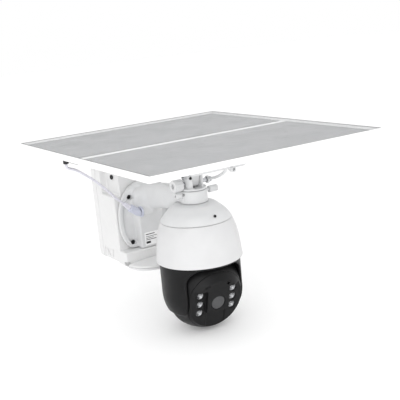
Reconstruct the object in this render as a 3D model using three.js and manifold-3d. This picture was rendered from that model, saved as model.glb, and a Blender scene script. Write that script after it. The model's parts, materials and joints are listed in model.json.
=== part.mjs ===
// A solar-powered pan-and-tilt security camera on a wall box.
// Millimetres, +Z up. The wall is the plane y = 0 and the camera reaches out along -Y.
// Inside the file everything is placed from the centre of the dome's lower rim, with the
// wall at y = REACH, and one group moves the whole object to the wall plate's centre.
import * as THREE from 'three';
import { mergeVertices } from 'three/addons/utils/BufferGeometryUtils.js';
import Module from 'manifold-3d';

const wasm = await Module();
wasm.setup();

// ---------------------------------------------------------------- driving dimensions
const REACH = 204; // wall to dome axis
const RIM_DROP = 32; // wall plate's centre down to the dome's rim
const GAP = 0.3; // between pieces that touch
const WALL = 2.4; // moulded wall thickness
const PANEL_W = 300; // solar panel, across
const PANEL_L = 342; // solar panel, away from the wall
const PANEL_LOW = 143.2; // underside of the panel's frame
const PANEL_EDGE = 6.2; // height of the panel's frame
const RIM_R = 53.3; // dome rim
const BALL_R = 49; // camera ball
const BALL_Z = -40; // ball centre
const YOKE_R = 49.7; // yoke, outside
const SLOT_HALF = 36.5; // half the room between the yoke's legs
const PAN_REST = -3; // degrees, the head looks slightly to -X
const TILT_REST = 15; // degrees, the lens looks slightly down
const PIVOT_Z = 93; // panel tilt axis
const BOX_HALF = 42.6; // wall box, half width
const BOX_LOW = -32;
const BOX_HIGH = 97;
const BOX_FRONT = 136; // front face, measured from the dome axis
const CASE_SEAM = 186; // front case meets rear case
const GEAR_MODULE = 1.5;
const PINION_TEETH = 10;
const PAN_TEETH = 30;
const TILT_TEETH = 24;
const ADDENDUM = 0.8 * GEAR_MODULE;

const WHITE = 0xf2f2f0;
const SHADE_WHITE = 0xe2e3e4;
const BLACK = 0x2b2b2d;
const RUBBER = 0x1d1d1f;
const STEEL = 0xb9bcc0;
const BOARD = 0x1d5a38;

// ---------------------------------------------------------------- helpers
const rad = THREE.MathUtils.degToRad;

function signedVolume(geometry) {
  const p = geometry.attributes.position;
  const index = geometry.index;
  const a = new THREE.Vector3();
  const b = new THREE.Vector3();
  const c = new THREE.Vector3();
  let total = 0;
  for (let i = 0; i < index.count; i += 3) {
    a.fromBufferAttribute(p, index.getX(i));
    b.fromBufferAttribute(p, index.getX(i + 1));
    c.fromBufferAttribute(p, index.getX(i + 2));
    total += a.dot(b.cross(c));
  }
  return total / 6;
}

// A closed solid from a closed geometry, with its faces turned outwards.
function solid(geometry) {
  const bare = geometry.clone();
  bare.deleteAttribute('normal');
  bare.deleteAttribute('uv');
  const merged = mergeVertices(bare, 1e-4);
  const triVerts = Uint32Array.from(merged.index.array);
  if (signedVolume(merged) < 0) {
    for (let i = 0; i < triVerts.length; i += 3) {
      const kept = triVerts[i];
      triVerts[i] = triVerts[i + 1];
      triVerts[i + 1] = kept;
    }
  }
  const vertProperties = Float32Array.from(merged.attributes.position.array);
  return new wasm.Manifold(new wasm.Mesh({ numProp: 3, vertProperties, triVerts }));
}

function joined(...solids) {
  return solids.reduce((sum, next) => sum.add(next));
}

function cut(base, ...tools) {
  return tools.reduce((left, tool) => left.subtract(tool), base);
}

function geometryOf(body) {
  const mesh = body.getMesh();
  const geometry = new THREE.BufferGeometry();
  geometry.setAttribute('position', new THREE.BufferAttribute(mesh.vertProperties, 3));
  geometry.setIndex(new THREE.BufferAttribute(mesh.triVerts, 1));
  return geometry;
}

function block(x0, x1, y0, y1, z0, z1) {
  const geometry = new THREE.BoxGeometry(x1 - x0, y1 - y0, z1 - z0);
  geometry.translate((x0 + x1) / 2, (y0 + y1) / 2, (z0 + z1) / 2);
  return solid(geometry);
}

// A round bar along one axis, from a to b, with its centre at (u, v) on the other two.
function rod(axis, radius, a, b, u = 0, v = 0, sides = 16) {
  const geometry = new THREE.CylinderGeometry(radius, radius, b - a, sides);
  const middle = (a + b) / 2;
  if (axis === 'x') {
    geometry.rotateZ(Math.PI / 2);
    geometry.translate(middle, u, v);
  } else if (axis === 'y') {
    geometry.translate(u, middle, v);
  } else {
    geometry.rotateX(Math.PI / 2);
    geometry.translate(u, v, middle);
  }
  return solid(geometry);
}

// Turned about +Z from [radius, height] pairs.
function turned(profile, sides = 32) {
  const points = profile.map(([r, z]) => new THREE.Vector2(r, z));
  const geometry = new THREE.LatheGeometry(points, sides);
  geometry.rotateX(Math.PI / 2);
  return solid(geometry);
}

function ring(outer, inner, z0, z1, sides = 32) {
  return turned([[inner, z0], [outer, z0], [outer, z1], [inner, z1], [inner, z0]], sides);
}

function ball(radius, z = 0, around = 30, down = 15) {
  const geometry = new THREE.SphereGeometry(radius, around, down);
  geometry.rotateX(Math.PI / 2);
  geometry.translate(0, 0, z);
  return solid(geometry);
}

function roundedOutline(x0, x1, z0, z1, r) {
  const shape = new THREE.Shape();
  shape.moveTo(x0 + r, z0);
  shape.lineTo(x1 - r, z0);
  shape.absarc(x1 - r, z0 + r, r, -Math.PI / 2, 0);
  shape.lineTo(x1, z1 - r);
  shape.absarc(x1 - r, z1 - r, r, 0, Math.PI / 2);
  shape.lineTo(x0 + r, z1);
  shape.absarc(x0 + r, z1 - r, r, Math.PI / 2, Math.PI);
  shape.lineTo(x0, z0 + r);
  shape.absarc(x0 + r, z0 + r, r, Math.PI, Math.PI * 1.5);
  return shape;
}

function extruded(shape, depth, curveSegments) {
  return new THREE.ExtrudeGeometry(shape, { depth, bevelEnabled: false, curveSegments });
}

// An outline in X and Y, extruded up from z0 to z1.
function slab(shape, z0, z1, curveSegments = 6) {
  const geometry = extruded(shape, z1 - z0, curveSegments);
  geometry.translate(0, 0, z0);
  return solid(geometry);
}

// An outline in X and Z, extruded along Y from y0 to y1.
function wallSlab(shape, y0, y1, curveSegments = 6) {
  const geometry = extruded(shape, y1 - y0, curveSegments);
  geometry.rotateX(Math.PI / 2);
  geometry.translate(0, y1, 0);
  return solid(geometry);
}

// An outline in Y and Z, extruded along X from x0 to x1.
function sideSlab(shape, x0, x1, curveSegments = 6) {
  const geometry = extruded(shape, x1 - x0, curveSegments);
  geometry.rotateX(Math.PI / 2);
  geometry.rotateZ(Math.PI / 2);
  geometry.translate(x0, 0, 0);
  return solid(geometry);
}

function inOrder(a, b) {
  return [Math.min(a, b), Math.max(a, b)];
}

function mirroredX(build) {
  return joined(build(1), build(-1));
}

// Involute gear outline with a tooth centred on angle 0.
function gearOutline(teeth) {
  const backlash = 0.14;
  const pitch = (GEAR_MODULE * teeth) / 2;
  const base = pitch * Math.cos(rad(20));
  const tip = pitch + ADDENDUM;
  const root = pitch - 1.4 * ADDENDUM;
  const involute = (r) => {
    const angle = Math.acos(Math.min(1, base / r));
    return Math.tan(angle) - angle;
  };
  const halfTooth = (r) => Math.PI / (2 * teeth) - backlash / pitch + involute(pitch) - involute(r);
  const flank = [root, pitch, tip];
  const shape = new THREE.Shape();
  for (let i = 0; i < teeth; i += 1) {
    const middle = (i * 2 * Math.PI) / teeth;
    const rising = flank.map((r) => [r, -halfTooth(r)]);
    const falling = [...flank].reverse().map((r) => [r, halfTooth(r)]);
    const corners = [...rising, ...falling];
    for (const [r, angle] of corners) {
      const x = r * Math.cos(middle + angle);
      const y = r * Math.sin(middle + angle);
      if (shape.curves.length === 0 && shape.currentPoint.length() === 0) shape.moveTo(x, y);
      else shape.lineTo(x, y);
    }
  }
  shape.closePath();
  return shape;
}

// Stands an upright solid's +Z axis along +X.
function layAlongX(body) {
  const geometry = geometryOf(body);
  geometry.rotateY(Math.PI / 2);
  return solid(geometry);
}

function spun(body, degrees) {
  const geometry = geometryOf(body);
  geometry.rotateZ(rad(degrees));
  return solid(geometry);
}

function movedBy(body, x, y, z) {
  const geometry = geometryOf(body);
  geometry.translate(x, y, z);
  return solid(geometry);
}

const root = new THREE.Group();
const object = new THREE.Group();
object.position.set(0, -REACH, -RIM_DROP);
root.add(object);
const yokeFrame = new THREE.Group();
yokeFrame.rotation.z = rad(PAN_REST);
object.add(yokeFrame);
const ballFrame = new THREE.Group();
ballFrame.position.z = BALL_Z;
ballFrame.rotation.x = rad(TILT_REST);
yokeFrame.add(ballFrame);

function add(name, body, color, roughness = 0.5, metalness = 0, parent = object) {
  const material = new THREE.MeshStandardMaterial({ color, roughness, metalness });
  const mesh = new THREE.Mesh(geometryOf(body), material);
  mesh.name = name;
  parent.add(mesh);
}

// ---------------------------------------------------------------- wall box
function boxSlab(inset, y0, y1) {
  const r = Math.max(5 - inset, 1);
  const outline = roundedOutline(-BOX_HALF + inset, BOX_HALF - inset, BOX_LOW + inset, BOX_HIGH - inset, r);
  return wallSlab(outline, y0, y1);
}

function wallPlate() {
  const half = 36;
  const middle = RIM_DROP;
  const plate = block(-half, half, REACH - 3.7, REACH, middle - 52, middle + 52);
  const holes = [];
  for (const side of [-1, 1]) {
    for (const up of [-1, 1]) {
      const z = middle + up * 42;
      holes.push(rod('y', 2.6, REACH - 5, REACH + 1, side * 28, z));
    }
  }
  return cut(plate, ...holes);
}

function rearCase() {
  const back = REACH - 4;
  const front = CASE_SEAM + 0.6;
  const shell = cut(boxSlab(0, front, back), boxSlab(WALL, front - 1, back - WALL));
  const cableHole = rod('y', 6, back - WALL - 1, back + 1, 0, 10);
  return cut(shell, cableHole);
}

function caseGasket() {
  return cut(boxSlab(0.6, CASE_SEAM, CASE_SEAM + 0.4), boxSlab(WALL, CASE_SEAM - 1, CASE_SEAM + 1));
}

const NOTCH = { deep: 10, rear: 172, low: 62 };
const FOOT_POCKET = { deep: 4, front: 140, rear: 183.6, high: -15 };
const CHIN = { front: 117, low: -31, high: -12 };
const HOOD_FRONT = 80;

// The stepped shoulders and the foot pockets of one side, grown by a wall where asked.
function sideRecesses(side, grow) {
  const outer = side * (BOX_HALF + 5);
  const shoulderIn = side * (BOX_HALF - NOTCH.deep - grow);
  const footIn = side * (BOX_HALF - FOOT_POCKET.deep - grow);
  const over = 5;
  const shoulder = block(
    ...inOrder(shoulderIn, outer), BOX_FRONT - over, NOTCH.rear + grow, NOTCH.low - grow, BOX_HIGH + over,
  );
  const foot = block(
    ...inOrder(footIn, outer), FOOT_POCKET.front - grow, FOOT_POCKET.rear + grow, BOX_LOW - over,
    FOOT_POCKET.high + grow,
  );
  return joined(shoulder, foot);
}

// Two slots that lie in the left foot pocket's floor, one upright and one slanted.
function footSlots() {
  const length = 11;
  const slots = [];
  for (const [y, z, lean] of [[165, -23, 0], [177, -24.5, 38]]) {
    const geometry = new THREE.BoxGeometry(9, 1.8, length);
    geometry.rotateX(rad(-lean));
    geometry.translate(-BOX_HALF + FOOT_POCKET.deep, y, z);
    slots.push(solid(geometry));
  }
  return slots;
}

const VENTS = { heights: [-25.4, -27.2, -29], high: 0.8, long: 7, deep: 7, at: 40 };
const WIRE_HOLE = { radius: 7, z: 20 };
const SCREW_HOLE_R = 1.9;

function chinVents() {
  const slots = [];
  for (const side of [-1, 1]) {
    for (const z of VENTS.heights) {
      const x = side * VENTS.at;
      slots.push(block(
        x - VENTS.long / 2, x + VENTS.long / 2, CHIN.front - 1, CHIN.front + VENTS.deep,
        z - VENTS.high / 2, z + VENTS.high / 2,
      ));
    }
  }
  return slots;
}

// Each button stands in a closed cup, so the case stays sealed behind it.
const CUP = { deep: 31, floor: 32.6, side: 2.2, collarRoom: 1.7 };

function buttonCup({ radius, y, z }) {
  return rod('x', radius + CUP.collarRoom + CUP.side, CUP.deep, BOX_HALF - FOOT_POCKET.deep - 1, y, z, 20);
}

function buttonRoom({ radius, y, z }) {
  const inner = BOX_HALF - FOOT_POCKET.deep - WALL;
  const collarRoom = rod('x', radius + CUP.collarRoom, CUP.floor, inner, y, z, 20);
  return joined(collarRoom, rod('x', radius + GAP, inner - 1, BOX_HALF + 2, y, z, 20));
}

function shoulderHole(side) {
  const face = side * (BOX_HALF - NOTCH.deep);
  return rod('x', SCREW_HOLE_R, face - 4, face + 4, SHOULDER_SCREW.y, SHOULDER_SCREW.z);
}

function frontCase() {
  const rear = CASE_SEAM - GAP;
  const outer = cut(boxSlab(0, BOX_FRONT, rear), sideRecesses(1, 0), sideRecesses(-1, 0));
  const room = cut(
    boxSlab(WALL, BOX_FRONT + WALL, rear + 1), sideRecesses(1, WALL), sideRecesses(-1, WALL),
  );
  const chin = block(-BOX_HALF, BOX_HALF, CHIN.front, BOX_FRONT + 1, CHIN.low, CHIN.high);
  const chinRoom = block(
    -BOX_HALF + WALL, BOX_HALF - WALL, CHIN.front + WALL, BOX_FRONT + 5, CHIN.low + WALL, CHIN.high - WALL,
  );
  const through = [BOX_FRONT - 1, BOX_FRONT + 5];
  const screwHoles = FLANGE_SCREWS.map(([x, z]) => rod('y', SCREW_HOLE_R, ...through, x, z));
  const wireHole = rod('y', WIRE_HOLE.radius, ...through, 0, WIRE_HOLE.z);
  const shell = joined(cut(joined(outer, chin), room, chinRoom), ...BUTTONS.map(buttonCup));
  return cut(
    shell, ...chinVents(), ...screwHoles, wireHole, ...BUTTONS.map(buttonRoom),
    shoulderHole(-1), shoulderHole(1), ...footSlots(),
  );
}

const FLANGE_SCREWS = [[-23, 60], [23, 60], [-23.4, -2.8], [23.4, -2.8]];
const SHOULDER_SCREW = { y: 153, z: 86 };
const BUTTONS = [
  { name: 'power_button', radius: 4, y: 154, z: -23.5 },
  { name: 'reset_button', radius: 2, y: 170, z: -23.5 },
];

// A pan-head screw along Y: its head stands at y0 and faces -Y.
function panScrew(x, z, y0, length, headRadius = 3.4) {
  const head = rod('y', headRadius, y0, y0 + 2, x, z, 20);
  const shank = rod('y', 1.6, y0 + 1.5, y0 + length, x, z, 12);
  const socket = rod('y', 1.3, y0 - 1, y0 + 1.2, x, z, 6);
  return cut(joined(head, shank), socket);
}

function shoulderScrew(side) {
  const face = BOX_HALF - NOTCH.deep;
  const { y, z } = SHOULDER_SCREW;
  const head = rod('x', 3.2, ...inOrder(side * (face + GAP), side * (face + GAP + 2)), y, z, 20);
  const shank = rod('x', 1.6, ...inOrder(side * (face - 6), side * (face + 1)), y, z, 12);
  return joined(head, shank);
}

function batteryPack() {
  const cell = 9.3;
  const cells = [-1, 0, 1].map((i) => rod('z', cell, 0, 66, i * cell * 2 * 0.98, 174, 24));
  return joined(...cells);
}

function batteryTray() {
  const floor = block(-31, 31, 184.2, 185.8, -4, 70);
  const foot = block(-31, 31, 162.4, 185, -4, -1);
  const hook = block(-31, 31, 162.4, 164, -3, 6);
  return joined(floor, foot, hook);
}

function mainBoard() {
  const plate = block(-30, 30, 152, 153.6, -8, 76);
  const parts = [
    block(-10, 6, 149.5, 152.5, 44, 60),
    block(12, 22, 150, 152.5, 20, 34),
    block(-26, -14, 147, 152.5, 2, 12),
    block(-4, 8, 145, 152.5, -6, 2),
    rod('y', 4, 142, 152.5, 20, 54, 16),
  ];
  return joined(plate, ...parts);
}

function antennaStrip() {
  return joined(block(-20, 28, 144, 144.8, 78, 90), block(-22, -18, 143, 145.6, 80, 88));
}

function button({ radius, y, z }) {
  const floor = BOX_HALF - FOOT_POCKET.deep;
  const cap = rod('x', radius, floor - 4.5, floor + 1.6, y, z, 24);
  const collar = rod('x', radius + 1.2, floor - 4.5, floor - 2.8, y, z, 24);
  return joined(cap, collar);
}

// Half an ellipse in plan, reaching from the chin towards the dome.
function hoodOutline(inset) {
  const shape = new THREE.Shape();
  const straight = CHIN.front - GAP;
  const half = BOX_HALF - 1.6 - inset;
  const depth = straight - HOOD_FRONT - inset;
  const points = [new THREE.Vector2(half, straight - (inset > 0 ? inset : 0))];
  const steps = 20;
  for (let i = 0; i <= steps; i += 1) {
    const angle = (i / steps) * Math.PI;
    const curve = 0.85;
    const x = half * Math.sign(Math.cos(angle)) * Math.abs(Math.cos(angle)) ** curve;
    points.push(new THREE.Vector2(x, straight - inset - depth * Math.sin(angle) ** curve));
  }
  shape.setFromPoints(points.slice(1));
  return shape;
}

function motionHood() {
  return cut(slab(hoodOutline(0), -29.6, -24.4), slab(hoodOutline(2.2), -31, -26.6));
}

function motionLens() {
  return cut(slab(hoodOutline(0), -32.8, -29.9), slab(hoodOutline(2.2), -31.4, -28));
}

function motionSensor() {
  const board = block(-12, 12, 96, 112, -28.4, -27);
  const can = rod('z', 4.6, -31, -27.5, 0, 103, 20);
  return joined(board, can);
}

function speaker() {
  const basket = rod('y', 6.8, 122, 125, -24, -21.5, 20);
  const magnet = rod('y', 5, 124, 131, -24, -21.5);
  return joined(basket, magnet);
}

// ---------------------------------------------------------------- arm
const FLANGE = { half: 40, high: 48, middle: 28, low: -11, rim: 5.5 };
const ARM_HALF = 16.5;
const ARM_LOW = CHIN.high + 0.6;
const COLLAR = { radius: 16.5, low: 69.6, high: 85, bore: 9 };

// A superellipse in X and Z, cut flat below.
function flangeOutline(inset) {
  const shape = new THREE.Shape();
  const power = 2 / 2.3;
  const steps = 36;
  const points = [];
  for (let i = 0; i < steps; i += 1) {
    const angle = (i / steps) * 2 * Math.PI;
    const c = Math.cos(angle);
    const s = Math.sin(angle);
    const x = (FLANGE.half - inset) * Math.sign(c) * Math.abs(c) ** power;
    const z = FLANGE.middle + (FLANGE.high - inset) * Math.sign(s) * Math.abs(s) ** power;
    points.push(new THREE.Vector2(x, Math.max(z, FLANGE.low + inset)));
  }
  shape.setFromPoints(points);
  return shape;
}

function armGasket() {
  const face = BOX_FRONT;
  const sheet = wallSlab(flangeOutline(1), face - 1.2, face - 0.3);
  const opening = block(-12, 12, face - 3, face + 1, 0, 44);
  const holes = FLANGE_SCREWS.map(([x, z]) => rod('y', 1.9, face - 3, face + 1, x, z, 16));
  return cut(sheet, opening, ...holes);
}

// The neck's cross sections from the collar back to the post.
const NECK = [
  { y: 4, high: 84.6, low: 68, half: 16 },
  { y: 20, high: 84.9, low: 64, half: 15.6 },
  { y: 34, high: 85, low: 58, half: 14 },
  { y: 48, high: 84.6, low: 53, half: 12 },
  { y: 62, high: 83.6, low: 51, half: 10.6 },
  { y: 78, high: 82, low: 49, half: 9.8 },
  { y: 94, high: 79.8, low: 46, half: 9.6 },
  { y: 106, high: 77.4, low: 42, half: 10.2 },
  { y: 118, high: 74, low: 34, half: 12 },
  { y: 131, high: 69.6, low: 25.5, half: 15 },
];
const POST = { front: 118, rear: 133.5, high: 64, round: 2 };

// A closed loft through superelliptic sections.
function loftedNeck() {
  const sides = 24;
  const power = 2 / 2.5;
  const positions = [];
  for (const { y, high, low, half } of NECK) {
    for (let i = 0; i < sides; i += 1) {
      const angle = (i / sides) * 2 * Math.PI;
      const c = Math.cos(angle);
      const s = Math.sin(angle);
      const x = half * Math.sign(c) * Math.abs(c) ** power;
      const z = (high + low) / 2 + ((high - low) / 2) * Math.sign(s) * Math.abs(s) ** power;
      positions.push(x, y, z);
    }
  }
  const index = [];
  const last = (NECK.length - 1) * sides;
  for (let ringStart = 0; ringStart < last; ringStart += sides) {
    for (let i = 0; i < sides; i += 1) {
      const a = ringStart + i;
      const b = ringStart + ((i + 1) % sides);
      index.push(a, b, b + sides, a, b + sides, a + sides);
    }
  }
  for (let i = 1; i < sides - 1; i += 1) {
    index.push(0, i + 1, i);
    index.push(last, last + i, last + i + 1);
  }
  const geometry = new THREE.BufferGeometry();
  geometry.setAttribute('position', new THREE.Float32BufferAttribute(positions, 3));
  geometry.setIndex(index);
  return solid(geometry);
}

// The room the arm leaves for the dome's cap.
function crownClearance() {
  const crown = DOME_CROWN.map(([r, z]) => [r === 0 ? 0 : r + GAP, z + GAP]);
  const [rim] = crown;
  return turned([[0, rim[1] - 1], [rim[0], rim[1] - 1], ...crown], 48);
}

const CLAMP = { z: 80.6, radius: 4.15 };
const LEAD_SOCKET = { y: 108.5, z: 42.3, flange: 7.2, bore: 5.2 };
const WIRE_R = 4.2;
const WIRE_ROUTE = [[0, 5, 76], [0, 30, 76], [0, 60, 70], [0, 95, 64], [0, 128, 52]];

function arm() {
  const face = BOX_FRONT - 1.5;
  const plate = wallSlab(flangeOutline(0), face - 5.2, face);
  const recess = wallSlab(flangeOutline(FLANGE.rim), face - 7, face - 2.4);
  const flange = cut(plate, recess);
  const postOutline = roundedOutline(-ARM_HALF, ARM_HALF, ARM_LOW, POST.high, POST.round);
  const post = wallSlab(postOutline, POST.front, POST.rear, 3);
  const { radius, low, high, bore } = COLLAR;
  const collar = turned([[0, low], [radius, low], [radius, high], [0, high]]);
  const clampEar = rod('x', CLAMP.radius, -26, -10, 0, CLAMP.z, 20);
  const boss = rod('x', LEAD_SOCKET.flange, -ARM_HALF, -3, LEAD_SOCKET.y, LEAD_SOCKET.z, 24);
  const body = joined(flange, post, loftedNeck(), collar, boss);
  const swivelBore = turned([[0, low + 2], [bore, low + 2], [bore, high + 5], [0, high + 5]]);
  const clampSocket = rod('x', 1.5, -27, -22, 0, CLAMP.z, 6);
  const clampHole = rod('x', 2.3, 8, 20, 0, CLAMP.z);
  const wireRoom = block(-11, 11, POST.front + 2.8, face + 1, 8, 58);
  const wireWay = joined(wireRoom, sweep(WIRE_ROUTE, WIRE_R, 14, 12));
  const socketHole = rod('x', LEAD_SOCKET.bore, -18, -10, LEAD_SOCKET.y, LEAD_SOCKET.z);
  const holes = FLANGE_SCREWS.flatMap(([x, z]) => [
    rod('y', SCREW_HOLE_R, face - 8, face + 1, x, z),
    rod('y', 2 * SCREW_HOLE_R, face - 8, face - 2.4, x, z, 20),
  ]);
  const casting = joined(cut(body, crownClearance()), clampEar);
  return cut(casting, swivelBore, clampSocket, clampHole, wireWay, socketHole, ...holes);
}

function clampBolt() {
  const grip = rod('x', CLAMP.radius, 21.5, 33.5, 0, CLAMP.z, 28);
  const shank = rod('x', 2, 10.5, 22, 0, CLAMP.z, 16);
  return joined(grip, shank);
}

// ---------------------------------------------------------------- solar lead
const LEAD_RADIUS = 1.5;

function sweep(points, radius, sides, steps) {
  const curve = new THREE.CatmullRomCurve3(points.map((p) => new THREE.Vector3(...p)));
  const section = new THREE.Shape();
  for (let i = 0; i < sides; i += 1) {
    const angle = (i / sides) * 2 * Math.PI;
    const x = radius * Math.cos(angle);
    const y = radius * Math.sin(angle);
    if (i === 0) section.moveTo(x, y);
    else section.lineTo(x, y);
  }
  section.closePath();
  return solid(new THREE.ExtrudeGeometry(section, { steps, bevelEnabled: false, extrudePath: curve }));
}

function leadSocket() {
  const { y, z } = LEAD_SOCKET;
  const flange = rod('x', LEAD_SOCKET.flange, -19.2, -ARM_HALF - GAP, y, z, 28);
  const neck = rod('x', 4.8, -17.5, -10.5, y, z, 20);
  return joined(flange, neck);
}

// An elbow plug: straight out of the socket, then up and back along the lead.
function leadPlug() {
  const { y, z } = LEAD_SOCKET;
  const bend = [[-19.6, y, z], [-21.4, y, z], [-26.5, y + 0.8, z + 3.6], [-33, y + 1.5, z + 8.4]];
  const tail = [[-31, y + 1.4, z + 7], [-38, y - 0.4, z + 12.7], [-44.5, y - 4.7, z + 17.7]];
  const barrel = sweep(bend, 5.2, 14, 7);
  const boot = sweep(tail, 3.4, 10, 5);
  return joined(barrel, boot);
}

// The panel lead, from the junction box's gland down to the plug's boot.
const LEAD_ROUTE = [
  [-136, 52, 133.8], [-136, 52, 130.5], [-133, 53, 128], [-127, 55.5, 125.6], [-122.6, 57, 123.4],
  [-118, 58.5, 120.5], [-108, 62.5, 113.4], [-98, 67, 106], [-88, 72.5, 97.6], [-78, 79, 88.8],
  [-69, 85.5, 80.6], [-60, 93.2, 72.4], [-54, 97.6, 67.6], [-49.2, 100.8, 63.8], [-44.8, 103.6, 60.3],
];

function panelLead() {
  return sweep(LEAD_ROUTE, LEAD_RADIUS, 8, 24);
}

// ---------------------------------------------------------------- dome
// Outside radius of the dome by height above its rim.
const DOME_SIDE = [[RIM_R, 0], [52.5, 6], [51.6, 15], [50, 27], [46.8, 40], [43.6, 48.6]];
const DOME_CROWN = [
  [43.6, 49], [40.3, 54], [35, 60], [30.3, 64], [26.4, 67.2], [21, 69], [17, 69.3], [0, 69.3],
];
const DOME_WALL = 2.2;
const CAP_SCREWS = [3.5, 130]; // bearings from -Y, the rear one beside the arm

function inside(points, wall, drop) {
  return points.map(([r, z]) => [Math.max(r - wall, 0), z - drop]);
}

function domeSkirt() {
  const outer = DOME_SIDE;
  const inner = inside([...DOME_SIDE].reverse(), DOME_WALL, 0);
  return turned([...outer, ...inner, outer[0]]);
}

function domeCap() {
  const outer = DOME_CROWN;
  const inner = [[0, 67], [18, 67], [24, 66], [28.5, 62.6], [33, 58.4], [38, 52.6], [41.4, 49]];
  const crown = turned([...outer, ...inner, outer[0]]);
  return cut(crown, rod('z', 5.6, 60, 72), ...CAP_SCREWS.map((bearing) => capScrew(bearing, 2.2)));
}

// A cap screw stands square to the dome's side at a height, on a bearing from -Y.
function capScrew(bearing, radius = 1.9) {
  const geometry = new THREE.CylinderGeometry(radius, radius, 3 + 8 * (radius - 1.9), 16);
  geometry.translate(0, -1.4, 0);
  geometry.rotateX(Math.PI / 2 + rad(40));
  geometry.translate(0, -38.6, 57.4);
  geometry.rotateZ(rad(bearing));
  return solid(geometry);
}

function panBase() {
  const plate = turned([[0, 15], [48.2, 15], [48.2, 18], [0, 18]]);
  return cut(plate, rod('z', 13.3, 10, 20, 0, 0, 36));
}

function panBearing() {
  return ring(13, HUB_R + 0.06, 14.6, 18.8);
}

const HUB_R = 9.25;
const GEAR_Z = { low: 20.3, high: 24.6 };
const PAN_CENTRES = (GEAR_MODULE * (PAN_TEETH + PINION_TEETH)) / 2 + 0.05;

function panMotor() {
  const body = rod('z', 11, 26.2, 41, 0, PAN_CENTRES, 24);
  const ears = block(-15.5, 15.5, PAN_CENTRES - 3.5, PAN_CENTRES + 3.5, 26.2, 27.4);
  return joined(body, ears);
}

function slipRing() {
  const barrel = rod('z', 4.9, 20.6, 42, 0, 0, 28);
  const flange = rod('z', 9, 30, 32, 0, 0, 28);
  return joined(barrel, flange);
}

// ---------------------------------------------------------------- yoke
function archOutline() {
  return roundedOutline(-SLOT_HALF, SLOT_HALF, -120, -4, 17);
}

function yokeBody() {
  const up = turned([
    [0, BALL_Z], [YOKE_R, BALL_Z], [YOKE_R, 1.6], [46, 1.6], [46, 12.6], [HUB_R, 12.6], [HUB_R, 20], [0, 20],
  ]);
  const under = turned([[0, -63], [43, -63], [46.4, -58.6], [48.8, -50], [YOKE_R, BALL_Z], [0, BALL_Z]]);
  const slot = wallSlab(archOutline(), -60, 60, 5);
  const room = ball(BALL_R + 0.6, BALL_Z).intersect(block(-SLOT_HALF, SLOT_HALF, -60, 60, -100, 20));
  const wires = rod('z', 5.4, 0, 25);
  const gearPocket = joined(
    rod('x', TILT_TIP + 0.9, 30, 41.1, 0, BALL_Z, 28),
    rod('x', PINION_TIP + 0.9, 30, 41.1, 0, PINION_HIGH, 20),
  );
  const motorPocket = rod('x', 9.8, 30, 47.6, 0, PINION_HIGH, 20);
  const bushRight = rod('x', 6.8, 40, 46.2, 0, BALL_Z, 20);
  const bushLeft = rod('x', 6.8, -44.6, -30, 0, BALL_Z, 20);
  return cut(joined(up, under), slot, room, wires, gearPocket, motorPocket, bushRight, bushLeft);
}

const TILT_TIP = (GEAR_MODULE * TILT_TEETH) / 2 + ADDENDUM;
const PINION_TIP = (GEAR_MODULE * PINION_TEETH) / 2 + ADDENDUM;
const TILT_CENTRES = (GEAR_MODULE * (TILT_TEETH + PINION_TEETH)) / 2 + 0.05;
const PINION_HIGH = BALL_Z + TILT_CENTRES;
const AXLE_R = 4;

function bush(x0, x1) {
  return cut(rod('x', 6.4, x0, x1, 0, BALL_Z, 20), rod('x', AXLE_R + 0.06, x0 - 1, x1 + 1, 0, BALL_Z, 28));
}

function panGear() {
  const wheel = slab(gearOutline(PAN_TEETH), GEAR_Z.low, GEAR_Z.high);
  return cut(spun(wheel, 90 - PAN_REST), rod('z', 5.5, 10, 30, 0, 0, 28));
}

function panPinion() {
  const wheel = spun(slab(gearOutline(PINION_TEETH), GEAR_Z.low, GEAR_Z.high), 90 + 180 / PINION_TEETH);
  const shaft = rod('z', 1.5, GEAR_Z.low - 1.5, GEAR_Z.high + 1.2, 0, 0, 12);
  return movedBy(joined(wheel, shaft), 0, PAN_CENTRES, 0);
}

// The tilt gear in the ball's frame, with a tooth towards the pinion straight above at rest.
function tiltGear() {
  const wheel = layAlongX(spun(slab(gearOutline(TILT_TEETH), 37.2, 40.7), 180));
  const turnedBack = geometryOf(wheel);
  turnedBack.rotateX(-rad(TILT_REST));
  const axle = rod('x', AXLE_R, SLOT_HALF - 0.2, 45.6, 0, 0, 28);
  return joined(solid(turnedBack), axle);
}

function tiltPinion() {
  const wheel = layAlongX(spun(slab(gearOutline(PINION_TEETH), 37.2, 40.7), 180 + 180 / PINION_TEETH));
  const shaft = rod('x', 1.2, 40, 41.6, 0, 0, 12);
  return movedBy(joined(wheel, shaft), 0, 0, PINION_HIGH);
}

function tiltMotor() {
  return rod('x', 9.4, 42, 47.2, 0, PINION_HIGH, 28);
}

// ---------------------------------------------------------------- ball, looking along -Y
const BALL_HALF = 36;
const FACE = { seam: -30, base: -33.5, raised: -38.5, channel: -32.3 };
const LED = { x: 22.7, pitch: 12, hole: 4.75 };
const LENS = { window: 8.8, hole: 7.6 };
const LIGHT_SENSOR = { x: 12.7, z: 24.2 };

function ballSolid(radius, half, y0, y1) {
  return ball(radius).intersect(block(-half, half, y0, y1, -60, 60));
}

function ballShell() {
  const outer = ballSolid(BALL_R, BALL_HALF, FACE.seam, 60);
  const within = block(-BALL_HALF + WALL, BALL_HALF - WALL, FACE.seam - 1, 60, -60, 60);
  const room = ball(BALL_R - WALL, 0, 18, 9).intersect(within);
  const stub = rod('x', AXLE_R, -44.2, -BALL_HALF + 1, 0, 0, 28);
  return joined(cut(outer, room), stub);
}

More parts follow.
